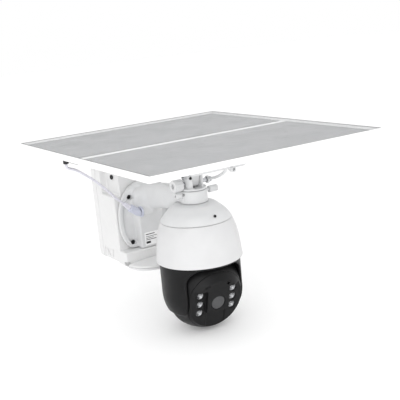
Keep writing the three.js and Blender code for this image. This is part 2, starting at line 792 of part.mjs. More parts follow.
function facePlate() {
  const plate = ballSolid(BALL_R, BALL_HALF, FACE.raised, FACE.seam - GAP);
  const beds = mirroredX((side) => block(...inOrder(15 * side, 45 * side), -60, FACE.base, -60, 19.4));
  const chinBed = block(-16, 16, -60, FACE.base, -60, -12.7);
  const channel = block(-13, 13, -60, FACE.channel, -60, -12.7);
  const hollow = block(-12.4, 12.4, FACE.raised + 2, FACE.seam + 1, -10.6, 27);
  const windowSeat = rod('y', LENS.window + 0.25, FACE.raised - 2, FACE.raised + 1.2, 0, 0, 32);
  const lensHole = rod('y', LENS.hole, FACE.raised - 2, FACE.seam + 2, 0, 0, 32);
  const ledHoles = [];
  for (const side of [-1, 1]) {
    for (const row of [-1, 0, 1]) {
      ledHoles.push(rod('y', LED.hole, FACE.base - 2, FACE.seam + 2, side * LED.x, row * LED.pitch, 20));
    }
  }
  const sensorHole = rod('y', 1.9, FACE.raised - 2, FACE.seam + 2, LIGHT_SENSOR.x, LIGHT_SENSOR.z, 14);
  return cut(plate, beds, chinBed, channel, hollow, windowSeat, lensHole, ...ledHoles, sensorHole);
}

function lensWindow() {
  return rod('y', LENS.window, FACE.raised + 0.1, FACE.raised + 0.9, 0, 0, 32);
}

function lensBarrel() {
  const nose = rod('y', 7, -35.6, -29.5, 0, 0, 28);
  const body = rod('y', 9.2, -30, -20, 0, 0, 28);
  const bowl = rod('y', 4.4, -36, -33.6, 0, 0, 24);
  return cut(joined(nose, body), bowl);
}

function sensorBoard() {
  return joined(block(-16, 16, -19.6, -18, -15, 15), block(-8, 8, -18.4, -14.5, -12, -5));
}

function ledBank(side) {
  const board = block(side * LED.x - 5.4, side * LED.x + 5.4, -29.8, -28.6, -18, 18);
  const lamps = [-1, 0, 1].map((row) => rod('y', 4.3, -32.4, -29, side * LED.x, row * LED.pitch, 20));
  return joined(board, ...lamps);
}

function lightSensor() {
  return rod('y', 1.6, FACE.raised + 2.3, -29.5, LIGHT_SENSOR.x, LIGHT_SENSOR.z, 12);
}

// ---------------------------------------------------------------- panel bracket
const BOLT_R = 2.5;

function swivelFork() {
  const stem = turned([
    [0, 72], [COLLAR.bore - 0.06, 72], [COLLAR.bore - 0.06, COLLAR.high + GAP], [15.8, COLLAR.high + GAP],
    [15.8, 88], [12.5, 88], [12.5, 106], [0, 106],
  ]);
  const crown = joined(rod('x', 12.5, -20, 20, 0, PIVOT_Z, 24), block(-20, 20, -20, 20, 60, PIVOT_Z));
  const slot = block(-6.4, 6.4, -20, 20, 87.4, 110);
  const boltHole = rod('x', BOLT_R + 0.06, -20, 20, 0, PIVOT_Z, 24);
  const wires = rod('z', 4, 60, 89, 0, 0, 16);
  return cut(stem.intersect(crown), slot, boltHole, wires);
}

function tiltBolt() {
  const shank = rod('x', BOLT_R, -16, 26, 0, PIVOT_Z, 24);
  const end = rod('x', 3.2, 24.2, 26.4, 0, PIVOT_Z, 24);
  return joined(shank, end);
}

function tiltKnob() {
  const barrel = rod('x', 7.2, -28.2, -16.2, 0, PIVOT_Z, 24);
  const socket = rod('x', 3, -30, -23.5, 0, PIVOT_Z, 6);
  return cut(barrel, socket);
}

function panelBracket() {
  const top = PANEL_LOW + 1.2;
  const low = top - 3;
  const plate = slab(roundedOutline(-39, 39, -60, 60, 8), low, top, 4);
  const frontRail = wallSlab(roundedOutline(-39, 39, 114.4, low + 1, 5), -60, -57, 4);
  const rearRail = wallSlab(roundedOutline(-39, 39, 129, low + 1, 5), 57, 60, 4);
  const tongueShape = new THREE.Shape();
  tongueShape.moveTo(-22, low + 1);
  tongueShape.lineTo(-4.6, PIVOT_Z + 2);
  tongueShape.absarc(0, PIVOT_Z, 5, rad(157), rad(383), false);
  tongueShape.lineTo(22, low + 1);
  tongueShape.closePath();
  const tongue = sideSlab(tongueShape, -6, 6, 10);
  const eye = rod('x', 4.6, 19.6, 22.8, 0, PIVOT_Z, 20);
  const stayRoute = [
    [21.2, -1, 93.6], [20.6, -18, 97.6], [15, -39, 104.4], [11.6, -54, 111.4], [11.4, -58.4, 119],
  ];
  const stay = sweep(stayRoute, 1.7, 6, 9);
  const boss = rod('y', 3.4, -64, -57, 17.5, 113.6, 16);
  const bossWeb = block(15, 20, -59.6, -57.4, 112, 120);
  const boltHole = rod('x', BOLT_R + 0.06, -10, 30, 0, PIVOT_Z, 24);
  return cut(joined(plate, frontRail, rearRail, tongue, eye, stay, boss, bossWeb), boltHole);
}

// ---------------------------------------------------------------- solar panel
const GLASS = { half: PANEL_W / 2 - 3.6, long: PANEL_L / 2 - 3.4 };
const CELLS = { half: 143, outer: 164.6, inner: 7.15 };

function panelOutline(inset) {
  const r = Math.max(4 - inset, 0.8);
  const wide = PANEL_W / 2 - inset;
  const long = PANEL_L / 2 - inset;
  return roundedOutline(-wide, wide, -long, long, r);
}

function panelFrame() {
  const top = PANEL_LOW + PANEL_EDGE;
  const body = slab(panelOutline(0), PANEL_LOW, top, 4);
  const glassWell = block(-GLASS.half, GLASS.half, -GLASS.long, GLASS.long, PANEL_LOW + 1.2, top + 1);
  const underOpening = block(-134, 134, -155, 155, PANEL_LOW - 1, PANEL_LOW + 3);
  return cut(body, glassWell, underOpening);
}

function panelSheet(z0, z1) {
  const clear = 0.25;
  return block(-GLASS.half + clear, GLASS.half - clear, -GLASS.long + clear, GLASS.long - clear, z0, z1);
}

function cells(y0, y1) {
  return block(-CELLS.half, CELLS.half, y0, y1, PANEL_LOW + 2.8, PANEL_LOW + 3.3);
}

function junctionBox() {
  const top = PANEL_LOW + 1.2;
  const box = block(-130, -104, 34, 70, top - 11, top);
  const rib = block(-133.6, -129, 45, 59, PANEL_LOW - 5, PANEL_LOW - 0.4);
  const gland = rod('z', 3.2, 134.1, PANEL_LOW - 0.4, -136, 52, 20);
  const web = block(-138, -129, 49.5, 54.5, PANEL_LOW - 4, PANEL_LOW - 0.4);
  return joined(box, rib, gland, web);
}

// ---------------------------------------------------------------- assembly
add('wall_plate', wallPlate(), STEEL, 0.4, 0.8);
add('rear_case', rearCase(), WHITE);
add('case_gasket', caseGasket(), RUBBER, 0.9);
add('front_case', frontCase(), WHITE);
add('case_screw_left', shoulderScrew(-1), STEEL, 0.35, 0.9);
add('case_screw_right', shoulderScrew(1), STEEL, 0.35, 0.9);
add('battery_pack', batteryPack(), 0x2e63b8, 0.45);
add('battery_tray', batteryTray(), SHADE_WHITE);
add('main_board', mainBoard(), BOARD);
add('antenna_strip', antennaStrip(), 0x20242a);
add('speaker', speaker(), 0x303234);
add('motion_hood', motionHood(), WHITE);
add('motion_lens', motionLens(), SHADE_WHITE, 0.35);
add('motion_sensor', motionSensor(), BOARD);
for (const spec of BUTTONS) add(spec.name, button(spec), 0x8d9094, 0.6);
add('arm_gasket', armGasket(), RUBBER, 0.9);
add('arm', arm(), WHITE);
FLANGE_SCREWS.forEach(([x, z], i) => {
  add(`flange_screw_${i + 1}`, panScrew(x, z, BOX_FRONT - 1.5 - 2.4 - GAP - 2, 12), STEEL, 0.35, 0.9);
});
add('clamp_bolt', clampBolt(), SHADE_WHITE);
add('lead_socket', leadSocket(), 0x9aa5b5);
add('lead_plug', leadPlug(), 0xdfe2ea);
add('panel_lead', panelLead(), 0xe6e6ee, 0.45);
add('dome_cap', domeCap(), SHADE_WHITE);
add('dome_skirt', domeSkirt(), WHITE, 0.4);
add('cap_screw_front', capScrew(CAP_SCREWS[0]), 0x6b6d70, 0.4, 0.8);
add('cap_screw_rear', capScrew(CAP_SCREWS[1]), 0x6b6d70, 0.4, 0.8);
add('pan_base', panBase(), 0x35373a);
add('pan_bearing', panBearing(), STEEL, 0.3, 0.9);
add('pan_motor', panMotor(), STEEL, 0.4, 0.8);
add('slip_ring', slipRing(), 0x3a3c40);
add('pan_pinion', panPinion(), 0xe8dfc8);

add('yoke', yokeBody(), BLACK, 0.4, 0, yokeFrame);
add('pan_gear', panGear(), 0xe8dfc8, 0.5, 0, yokeFrame);
add('tilt_motor', tiltMotor(), STEEL, 0.4, 0.8, yokeFrame);
add('bush_left', bush(-44, -37), 0xd8b25a, 0.35, 0.6, yokeFrame);
add('bush_right', bush(41.6, 45.9), 0xd8b25a, 0.35, 0.6, yokeFrame);
add('tilt_pinion', tiltPinion(), 0xe8dfc8, 0.5, 0, yokeFrame);

add('ball_shell', ballShell(), BLACK, 0.4, 0, ballFrame);
add('face_plate', facePlate(), BLACK, 0.35, 0, ballFrame);
add('lens_window', lensWindow(), 0x5a5c60, 0.1, 0, ballFrame);
add('lens_barrel', lensBarrel(), 0x18181a, 0.3, 0, ballFrame);
add('sensor_board', sensorBoard(), BOARD, 0.5, 0, ballFrame);
add('led_bank_left', ledBank(-1), 0xc9cbcf, 0.25, 0, ballFrame);
add('led_bank_right', ledBank(1), 0xc9cbcf, 0.25, 0, ballFrame);
add('light_sensor', lightSensor(), 0x101012, 0.2, 0, ballFrame);
add('tilt_gear', tiltGear(), 0xe8dfc8, 0.5, 0, ballFrame);

add('swivel_fork', swivelFork(), SHADE_WHITE);
add('tilt_bolt', tiltBolt(), STEEL, 0.35, 0.9);
add('tilt_knob', tiltKnob(), SHADE_WHITE);
add('panel_bracket', panelBracket(), WHITE);
add('panel_frame', panelFrame(), 0xf6f6f6);
add('back_sheet', panelSheet(PANEL_LOW + 1.5, PANEL_LOW + 2.5), SHADE_WHITE);
add('cells_front', cells(-CELLS.outer, -CELLS.inner), 0x50555c, 0.4, 0.2);
add('cells_rear', cells(CELLS.inner, CELLS.outer), 0x50555c, 0.4, 0.2);
add('panel_glass', panelSheet(PANEL_LOW + 3.6, PANEL_LOW + PANEL_EDGE - 0.3), 0x9aa0a6, 0.1);
add('junction_box', junctionBox(), 0x2b2b2d);

export default root;
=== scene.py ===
"""A solar-powered pan-and-tilt security camera on a wall box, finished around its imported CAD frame.

Shapes are worked out in millimetres from the centre of the dome's lower rim, with +Y towards the wall
and +Z up. Castings and mouldings are signed distances with filleted joins, skinned as fine meshes;
turned, swept and framed pieces are built ring by ring.
"""

import json
import math

import bpy
import numpy as np
from mathutils import Matrix, Vector
from numpy import hypot, maximum, minimum


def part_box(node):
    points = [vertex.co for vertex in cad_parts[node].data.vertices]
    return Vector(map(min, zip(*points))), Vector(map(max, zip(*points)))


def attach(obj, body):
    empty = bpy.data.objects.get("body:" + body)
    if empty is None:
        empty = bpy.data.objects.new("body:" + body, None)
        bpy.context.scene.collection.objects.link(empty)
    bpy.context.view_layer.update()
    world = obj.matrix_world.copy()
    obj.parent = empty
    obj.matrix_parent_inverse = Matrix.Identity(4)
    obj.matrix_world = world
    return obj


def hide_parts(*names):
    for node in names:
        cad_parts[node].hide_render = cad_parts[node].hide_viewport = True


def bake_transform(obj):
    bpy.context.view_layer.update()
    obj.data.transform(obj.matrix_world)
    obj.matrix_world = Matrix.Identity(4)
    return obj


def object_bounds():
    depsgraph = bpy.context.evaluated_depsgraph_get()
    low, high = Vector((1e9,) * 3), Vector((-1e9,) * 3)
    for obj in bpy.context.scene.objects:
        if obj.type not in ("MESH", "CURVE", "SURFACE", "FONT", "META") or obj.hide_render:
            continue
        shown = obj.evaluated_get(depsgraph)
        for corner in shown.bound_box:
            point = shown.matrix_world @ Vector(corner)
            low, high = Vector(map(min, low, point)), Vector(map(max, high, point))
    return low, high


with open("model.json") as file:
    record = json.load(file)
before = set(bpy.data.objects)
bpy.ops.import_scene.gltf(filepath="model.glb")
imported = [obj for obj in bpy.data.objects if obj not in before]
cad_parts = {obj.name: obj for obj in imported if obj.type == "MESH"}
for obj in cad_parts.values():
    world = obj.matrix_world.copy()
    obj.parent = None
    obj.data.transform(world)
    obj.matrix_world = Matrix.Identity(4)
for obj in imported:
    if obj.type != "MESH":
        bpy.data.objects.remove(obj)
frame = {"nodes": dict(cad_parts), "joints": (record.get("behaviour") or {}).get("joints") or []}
CAD_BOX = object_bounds()
JOINTS = {joint["name"]: joint for joint in frame["joints"]}

# -------- frames
MM = 0.001
PAN_AXIS = Vector(JOINTS["dome_pan"]["pos_m"])
RIM = Vector((PAN_AXIS.x, PAN_AXIS.y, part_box("dome_skirt")[0].z))
TILT_AXIS = JOINTS["ball_tilt"]["axis"]
PAN_REST = math.atan2(TILT_AXIS[1], TILT_AXIS[0])
TILT_REST = -math.radians(JOINTS["ball_tilt"]["range_deg"][0])
BALL_Z = (JOINTS["ball_tilt"]["pos_m"][2] - RIM.z) / MM
OBJECT_PLACE = Matrix.Translation(RIM) @ Matrix.Scale(MM, 4)
YOKE_PLACE = OBJECT_PLACE @ Matrix.Rotation(PAN_REST, 4, "Z")
BALL_PLACE = YOKE_PLACE @ Matrix.Translation((0, 0, BALL_Z)) @ Matrix.Rotation(TILT_REST, 4, "X")


def span(name):
    """A node's lowest and highest corners, in millimetres from the rim's centre."""
    low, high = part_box(name)
    return np.array((low - RIM) / MM), np.array((high - RIM) / MM)


BOX_LOW, BOX_HIGH = span("rear_case")
BOX_HALF = BOX_HIGH[0]
CASE_SEAM = span("front_case")[1][1]
PANEL_LOW, PANEL_HIGH = span("panel_frame")
PIVOT_Z = (JOINTS["panel_tilt"]["pos_m"][2] - RIM.z) / MM
YOKE_R = 49.7
BALL_R = 49.0
BALL_HALF = 36.0
SLOT_HALF = 36.5
WALL = 2.4
FAR = 1e9


# -------- distances
def block(p, low, high, edge=0.0):
    low, high = np.array(low, float), np.array(high, float)
    q = np.abs(p - (low + high) / 2) - (high - low) / 2 + edge
    return np.linalg.norm(maximum(q, 0), axis=1) + minimum(q.max(axis=1), 0) - edge


def edged(a, b, edge):
    """Two distances at right angles, the rim where they meet rounded by edge."""
    return hypot(maximum(a, 0), maximum(b, 0)) + minimum(maximum(a, b), 0) - edge


def prism(flat, along, start, end, edge=0.0):
    """An outline's flat distance carried from start to end, its rims rounded by edge."""
    return edged(flat + edge, np.abs(along - (start + end) / 2) - (end - start) / 2 + edge, edge)


def rod(p, axis, radius, start, end, centre=(0, 0), edge=0.0):
    along = "xyz".index(axis)
    u, v = [p[:, i] for i in range(3) if i != along]
    return prism(hypot(u - centre[0], v - centre[1]) - radius, p[:, along], start, end, edge)


def hexagon(u, v, across_flats):
    """Distance to a hexagon with flats above and below."""
    u, v = np.abs(u), np.abs(v)
    return maximum(v, u * math.cos(math.pi / 6) + v * math.sin(math.pi / 6)) - across_flats / 2


def rounded_rect(u, v, low, high, radius):
    qu = np.abs(u - (low[0] + high[0]) / 2) - (high[0] - low[0]) / 2 + radius
    qv = np.abs(v - (low[1] + high[1]) / 2) - (high[1] - low[1]) / 2 + radius
    return edged(qu, qv, radius)


def superellipse(u, v, half_u, half_v, power):
    """Very nearly the distance to a superellipse; the halves may be arrays."""
    a = maximum(np.abs(u) / half_u, 1e-6)
    b = maximum(np.abs(v) / half_v, 1e-6)
    total = a**power + b**power
    slope = hypot(a ** (power - 1) / half_u, b ** (power - 1) / half_v) * total ** (1 / power - 1)
    return (total ** (1 / power) - 1) / slope


def capsule_chain(p, points, radius):
    """Distance to a round bar of one radius bent through the points."""
    best = np.full(len(p), FAR)
    for start, end in zip(points[:-1], points[1:]):
        start, end = np.array(start, float), np.array(end, float)
        step = end - start
        t = np.clip((p - start) @ step / (step @ step), 0, 1)
        best = minimum(best, np.linalg.norm(p - start - t[:, None] * step, axis=1))
    return best - radius


def joined(a, b, fillet=0.0):
    if not fillet:
        return minimum(a, b)
    reach = hypot(maximum(fillet - a, 0), maximum(fillet - b, 0))
    return maximum(fillet, minimum(a, b)) - reach


def common(a, b, fillet=0.0):
    return -joined(-a, -b, fillet)


def cut(a, b, fillet=0.0):
    return common(a, -b, fillet)


def mirrored(p):
    """The points folded onto the +X side."""
    return np.where((True, False, False), np.abs(p), p)


def turned_by(p, centre, axis, degrees):
    """The points seen from a frame at centre that is turned about an axis."""
    spin = np.array(Matrix.Rotation(math.radians(degrees), 3, axis))
    return (p - np.array(centre, float)) @ spin


def spline(at, knots, values):
    """A natural cubic through the knots, held level past its ends."""
    knots, values = np.array(knots, float), np.array(values, float)
    gap = np.diff(knots)
    n = len(knots)
    system = np.eye(n)
    load = np.zeros(n)
    for i in range(1, n - 1):
        system[i, i - 1 : i + 2] = gap[i - 1], 2 * (gap[i - 1] + gap[i]), gap[i]
        load[i] = 6 * ((values[i + 1] - values[i]) / gap[i] - (values[i] - values[i - 1]) / gap[i - 1])
    bend = np.linalg.solve(system, load)
    at = np.clip(at, knots[0], knots[-1])
    i = np.clip(np.searchsorted(knots, at) - 1, 0, n - 2)
    before, after = at - knots[i], knots[i + 1] - at
    curve = (bend[i] * after**3 + bend[i + 1] * before**3) / (6 * gap[i])
    start = (values[i] / gap[i] - bend[i] * gap[i] / 6) * after
    return curve + start + (values[i + 1] / gap[i] - bend[i + 1] * gap[i] / 6) * before


# -------- meshes
def grid_lines(low, high, step, *fine):
    """Grid lines from low to high, closer together inside each (start, end, step) of fine."""
    lines = [low - 1.6 * step]
    while lines[-1] < high + 1.2 * step:
        paces = [pace for start, end, pace in fine if start - step < lines[-1] < end]
        lines.append(lines[-1] + min([step, *paces]))
    return np.array(lines)


def gradient(distance, p):
    reach = 0.02
    columns = []
    for axis in range(3):
        offset = np.zeros(3)
        offset[axis] = reach
        columns.append((distance(p + offset) - distance(p - offset)) / (2 * reach))
    return np.stack(columns, axis=1)


def crossing_means(value, cells):
    """For each mixed cell, the mean of where its edges cross zero, in grid steps."""
    total = np.zeros((len(cells), 3))
    hits = np.zeros(len(cells))
    for axis in range(3):
        others = [i for i in range(3) if i != axis]
        for corner in ((0, 0), (0, 1), (1, 0), (1, 1)):
            start = cells.copy()
            start[:, others] += corner
            end = start.copy()
            end[:, axis] += 1
            a, b = value[tuple(start.T)], value[tuple(end.T)]
            crossed = (a < 0) != (b < 0)
            place = start.astype(float)
            place[:, axis] += np.where(crossed, a / np.where(crossed, a - b, 1), 0)
            total[crossed] += place[crossed]
            hits += crossed
    return total / hits[:, None]


def net_quads(inside, index):
    """A quad round each grid edge that crosses the surface, facing outwards."""
    faces = []
    for axis in range(3):
        u, v = (axis + 1) % 3, (axis + 2) % 3
        low = [slice(1, -1)] * 3
        low[axis] = slice(0, -1)
        high = list(low)
        high[axis] = slice(1, None)
        a, b = inside[tuple(low)], inside[tuple(high)]
        edges = np.argwhere(a != b)
        outward = a[tuple(edges.T)]
        edges += [0 if i == axis else 1 for i in range(3)]
        ring = []
        for step in ((-1, -1), (0, -1), (0, 0), (-1, 0)):
            cell = edges.copy()
            cell[:, [u, v]] += step
            ring.append(index[tuple(cell.T)])
        quads = np.stack(ring, axis=1)
        quads[~outward] = quads[~outward][:, ::-1]
        faces.append(quads)
    return np.concatenate(faces)


def drawn_onto(distance, vertices, reach):
    """The vertices after four short steps towards the surface, and their normals."""
    for _ in range(4):
        slope = gradient(distance, vertices)
        size = maximum((slope**2).sum(axis=1), 0.05)
        move = (distance(vertices) / size)[:, None] * slope
        far = np.linalg.norm(move, axis=1, keepdims=True)
        vertices -= move * minimum(1, reach / maximum(far, 1e-9))
    normals = gradient(distance, vertices)
    return vertices, normals / maximum(np.linalg.norm(normals, axis=1, keepdims=True), 1e-9)


def surface_net(distance, lines):
    """The points, faces and normals of the surface where the distance is zero."""
    shape = tuple(len(line) for line in lines)
    points = np.stack(np.meshgrid(*lines, indexing="ij"), -1).reshape(-1, 3)
    value = distance(points).reshape(shape)
    inside = value < 0
    corners = sum(
        inside[i : shape[0] - 1 + i, j : shape[1] - 1 + j, k : shape[2] - 1 + k].astype(np.int8)
        for i in (0, 1) for j in (0, 1) for k in (0, 1)
    )
    mixed = (corners > 0) & (corners < 8)
    cells = np.argwhere(mixed)
    index = np.full(mixed.shape, -1)
    index[mixed] = np.arange(len(cells))
    mean = crossing_means(value, cells)
    start = [np.interp(mean[:, i], np.arange(shape[i]), lines[i]) for i in range(3)]
    reach = 0.6 * min(np.diff(line).min() for line in lines)
    vertices, normals = drawn_onto(distance, np.stack(start, axis=1), reach)
    return vertices, net_quads(inside, index), normals


def piece(name, points, faces, place=OBJECT_PLACE, normals=None):
    """A smooth mesh object from points in millimetres in a local frame."""
    matrix = np.array(place)
    mesh = bpy.data.meshes.new(name)
    world = np.asarray(points) @ matrix[:3, :3].T + matrix[:3, 3]
    mesh.from_pydata(world.tolist(), [], [list(map(int, face)) for face in faces])
    mesh.polygons.foreach_set("use_smooth", [True] * len(mesh.polygons))
    if normals is not None:
        turned_normals = normals @ matrix[:3, :3].T / MM
        mesh.normals_split_custom_set_from_vertices(turned_normals.tolist())
    made = bpy.data.objects.new(name, mesh)
    bpy.context.scene.collection.objects.link(made)
    if normals is None:
        weighted = made.modifiers.new("weighted", "WEIGHTED_NORMAL")
        weighted.weight = 100
    return made


def rounded(corners, radius):
    """A closed outline with its corners rounded, as an array of points."""
    corners = [np.array(c, float) for c in corners]
    points = []
    for i, corner in enumerate(corners):
        before = corners[i - 1] - corner
        after = corners[(i + 1) % len(corners)] - corner
        reach = min(radius, 0.45 * np.linalg.norm(before), 0.45 * np.linalg.norm(after))
        start = corner + before / np.linalg.norm(before) * reach
        end = corner + after / np.linalg.norm(after) * reach
        for t in np.linspace(0, 1, 4):
            points.append((1 - t) ** 2 * start + 2 * t * (1 - t) * corner + t**2 * end)
    return np.array(points)


def quads_between(rings, closed=True):
    """Faces from each ring of point numbers to the next, their repeated corners dropped."""
    faces = []
    after = rings[1:] + rings[:1] if closed else rings[1:]
    for low, high in zip(rings, after):
        if low[0] == low[1] and high[0] == high[1]:
            continue
        for j in range(len(low)):
            k = (j + 1) % len(low)
            face = [low[j], low[k], high[k], high[j]]
            faces.append([v for n, v in enumerate(face) if v not in face[:n]])
    return faces


def swept(name, path, radii, sides):
    """A round tube along a path, one radius for each point, closed at both ends."""
    path = np.array(path, float)
    tangents = np.gradient(path, axis=0)
    tangents /= np.linalg.norm(tangents, axis=1, keepdims=True)
    side = np.cross(tangents[0], (0.0, 0.3, 1.0))
    points = []
    for centre, tangent, radius in zip(path, tangents, radii):
        side = side - tangent * (side @ tangent)
        side /= np.linalg.norm(side)
        up = np.cross(tangent, side)
        for j in range(sides):
            a = 2 * math.pi * j / sides
            points.append(centre + radius * (math.cos(a) * side + math.sin(a) * up))
    rings = np.arange(len(points)).reshape(-1, sides).tolist()
    ends = [rings[0][::-1], rings[-1]]
    return piece(name, points, quads_between(rings, closed=False) + ends)


def catmull(points, per_span):
    """A smooth curve through given points."""
    points = [np.array(p, float) for p in points]
    points = [2 * points[0] - points[1], *points, 2 * points[-1] - points[-2]]
    line = []
    for a, b, c, d in zip(points[:-3], points[1:-2], points[2:-1], points[3:]):
        for t in np.linspace(0, 1, per_span, endpoint=False):
            line.append(0.5 * (2 * b + (c - a) * t + (2 * a - 5 * b + 4 * c - d) * t**2
                               + (3 * b - a - 3 * c + d) * t**3))
    return np.array([*line, points[-2]])


# -------- materials
MATERIALS = {}


def shader(name, colour, roughness, **sockets):
    """Makes a named material; gives its node tree, its Principled shader and object coordinates."""
    material = bpy.data.materials.new(name)
    MATERIALS[name] = material
    material.use_nodes = True
    tree = material.node_tree
    principled = tree.nodes["Principled BSDF"]
    principled.inputs["Base Color"].default_value = (*colour, 1)
    principled.inputs["Roughness"].default_value = roughness
    for socket, value in sockets.items():
        principled.inputs[socket.replace("_", " ")].default_value = value
    coordinates = tree.nodes.new("ShaderNodeTexCoord")
    return tree, principled, coordinates.outputs["Object"]


def plugged(tree, socket, value):
    """Links a socket to another node's output, or sets it to a value."""
    if isinstance(value, bpy.types.NodeSocket):
        tree.links.new(value, socket)
    else:
        socket.default_value = value


def node(tree, kind, output, **inputs):
    """A new node's output, its inputs set or linked; an underscore stands for a space."""
    made = tree.nodes.new("ShaderNode" + kind)
    for name, value in inputs.items():
        plugged(tree, made.inputs[name.replace("_", " ")], value)
    return made.outputs[output]


def computed(tree, operation, value, number):
    made = tree.nodes.new("ShaderNodeMath")
    made.operation = operation
    plugged(tree, made.inputs[0], value)
    plugged(tree, made.inputs[1], number)
    return made.outputs[0]


def noise(tree, coordinates, feature_mm, detail=3.0):
    return node(tree, "TexNoise", "Fac", Scale=1 / (feature_mm * MM), Detail=detail, Vector=coordinates)


def ranged(tree, value, low, high):
    """A 0.3 to 0.7 noise carried to the range from low to high."""
    return node(tree, "MapRange", "Result", Value=value, From_Min=0.3, From_Max=0.7, To_Min=low, To_Max=high)


def bumped(tree, principled, height, depth_mm):
    normal = node(tree, "Bump", "Normal", Distance=depth_mm * MM, Strength=1.0, Height=height)
    tree.links.new(normal, principled.inputs["Normal"])


def mixed_colour(tree, factor, first, second):
    """A mix of two colours, each three numbers or another node's output."""
    mix = tree.nodes.new("ShaderNodeMix")
    mix.data_type = "RGBA"
    plugged(tree, mix.inputs[0], factor)
    for socket, value in ((6, first), (7, second)):
        linked = isinstance(value, bpy.types.NodeSocket)
        plugged(tree, mix.inputs[socket], value if linked else (*value, 1))
    return mix.outputs[2]


def moulded(name, colour, roughness, grain_mm, grain_depth, tone=0.015, polish=0.04, **sockets):
    """Moulded or coated: a fine grain in the surface, with slow drifts of tone and polish."""
    tree, principled, coordinates = shader(name, colour, roughness, **sockets)
    bumped(tree, principled, noise(tree, coordinates, grain_mm, 2), grain_depth)
    slow = noise(tree, coordinates, 22)
    darker = [c * (1 - 2 * tone) for c in colour]
    lighter = [min(c * (1 + tone), 1) for c in colour]
    drift = ranged(tree, slow, 0, 1)
    tree.links.new(mixed_colour(tree, drift, darker, lighter), principled.inputs["Base Color"])
    polished = ranged(tree, noise(tree, coordinates, 6), roughness - polish, roughness + polish)
    tree.links.new(polished, principled.inputs["Roughness"])


def brushed(name, colour, roughness):
    """Metal with fine lines along one axis."""
    tree, principled, coordinates = shader(name, colour, roughness, Metallic=1.0)
    stretched = node(tree, "Mapping", "Vector", Scale=(1, 1, 12), Vector=coordinates)
    lines = noise(tree, stretched, 1.5, 4)
    bumped(tree, principled, lines, 0.01)
    tree.links.new(ranged(tree, lines, roughness - 0.08, roughness + 0.08), principled.inputs["Roughness"])


SILICON = (0.3, 0.305, 0.315)


def solar_cell():
    """Silicon under laminate: narrow collector lines each way and a slight drift between cells."""
    tree, principled, coordinates = shader("solar_cell", SILICON, 0.42)
    deep = tuple(0.86 * c for c in SILICON)
    silver = tuple(1.3 * c for c in SILICON)
    base = mixed_colour(tree, ranged(tree, noise(tree, coordinates, 60), 0, 1), SILICON, deep)
    separate = tree.nodes.new("ShaderNodeSeparateXYZ")
    tree.links.new(coordinates, separate.inputs["Vector"])
    for axis, pitch_mm, share in (("X", 2.4, 0.05), ("Y", 26.2, 0.03)):
        wave = computed(tree, "PINGPONG", separate.outputs[axis], pitch_mm * MM / 2)
        line = computed(tree, "LESS_THAN", wave, pitch_mm * MM * share / 2)
        base = mixed_colour(tree, line, base, silver)
    tree.links.new(base, principled.inputs["Base Color"])
    tree.links.new(ranged(tree, noise(tree, coordinates, 9), 0.36, 0.48), principled.inputs["Roughness"])


def clear_coat(name, tint, roughness, cover):
    """A clear sheet: it covers this share of what lies beneath and keeps its own sheen."""
    tree, principled, coordinates = shader(name, tint, roughness, Alpha=cover)
    smears = ranged(tree, noise(tree, coordinates, 40), roughness * 0.7, roughness * 1.6)
    tree.links.new(smears, principled.inputs["Roughness"])


def circuit_board():
    """Solder mask with the copper tracks standing slightly lighter beneath it."""
    tree, principled, coordinates = shader("circuit_board", (0.02, 0.16, 0.07), 0.35)
    cells = node(tree, "TexVoronoi", "Distance", Scale=1 / (3 * MM), Vector=coordinates)
    cells.node.distance = "MANHATTAN"
    tracks = mixed_colour(tree, cells, (0.015, 0.13, 0.055), (0.04, 0.24, 0.1))
    tree.links.new(tracks, principled.inputs["Base Color"])
    bumped(tree, principled, cells, 0.05)


WHITE = (0.77, 0.77, 0.77)
moulded("case_white", WHITE, 0.48, 0.5, 0.02)
moulded("arm_white", (0.7, 0.705, 0.71), 0.5, 0.9, 0.03)
moulded("dome_white", (0.665, 0.665, 0.67), 0.45, 0.4, 0.008)
moulded("frame_white", (0.95, 0.95, 0.95), 0.4, 0.8, 0.015)
moulded("back_sheet", (0.95, 0.95, 0.95), 0.55, 1.2, 0.02)
solar_cell()
clear_coat("panel_glass", (0.9, 0.91, 0.92), 0.22, 0.14)
moulded("head_black", (0.009, 0.009, 0.0095), 0.4, 0.45, 0.015, 0.08, Specular_IOR_Level=0.17)
clear_coat("lens_glass", (0.075, 0.076, 0.079), 0.3, 0.85)
moulded("lens_black", (0.012, 0.012, 0.013), 0.3, 0.5, 0.01, 0.08)
moulded("led_lamp", (0.34, 0.345, 0.355), 0.24, 1.5, 0.02, 0.02, 0.03, Metallic=0.9)
moulded("sensor_white", (0.74, 0.74, 0.75), 0.34, 0.7, 0.02)
moulded("lead_jacket", (0.72, 0.71, 0.78), 0.5, 0.6, 0.02)
moulded("connector_grey", (0.58, 0.6, 0.7), 0.5, 0.6, 0.02)
moulded("button_grey", (0.2, 0.21, 0.22), 0.7, 0.5, 0.02)
# Near-black rubber for the gaskets; also the colour of the painted shadow line round the panel glass.
moulded("seal_rubber", (0.02, 0.02, 0.02), 0.8, 0.6, 0.03)
moulded("black_screw", (0.02, 0.02, 0.021), 0.35, 0.5, 0.01, 0.08, Metallic=0.4)
brushed("steel", (0.6, 0.61, 0.63), 0.34)
brushed("motor_steel", (0.66, 0.67, 0.69), 0.28)
brushed("bronze", (0.68, 0.46, 0.2), 0.36)
moulded("gear_plastic", (0.82, 0.76, 0.6), 0.42, 0.6, 0.01)
circuit_board()
moulded("inner_black", (0.022, 0.022, 0.024), 0.55, 0.6, 0.02, 0.06)
moulded("inner_white", (0.72, 0.72, 0.72), 0.5, 0.6, 0.02)
moulded("battery_wrap", (0.03, 0.12, 0.36), 0.32, 4.0, 0.02, 0.04)


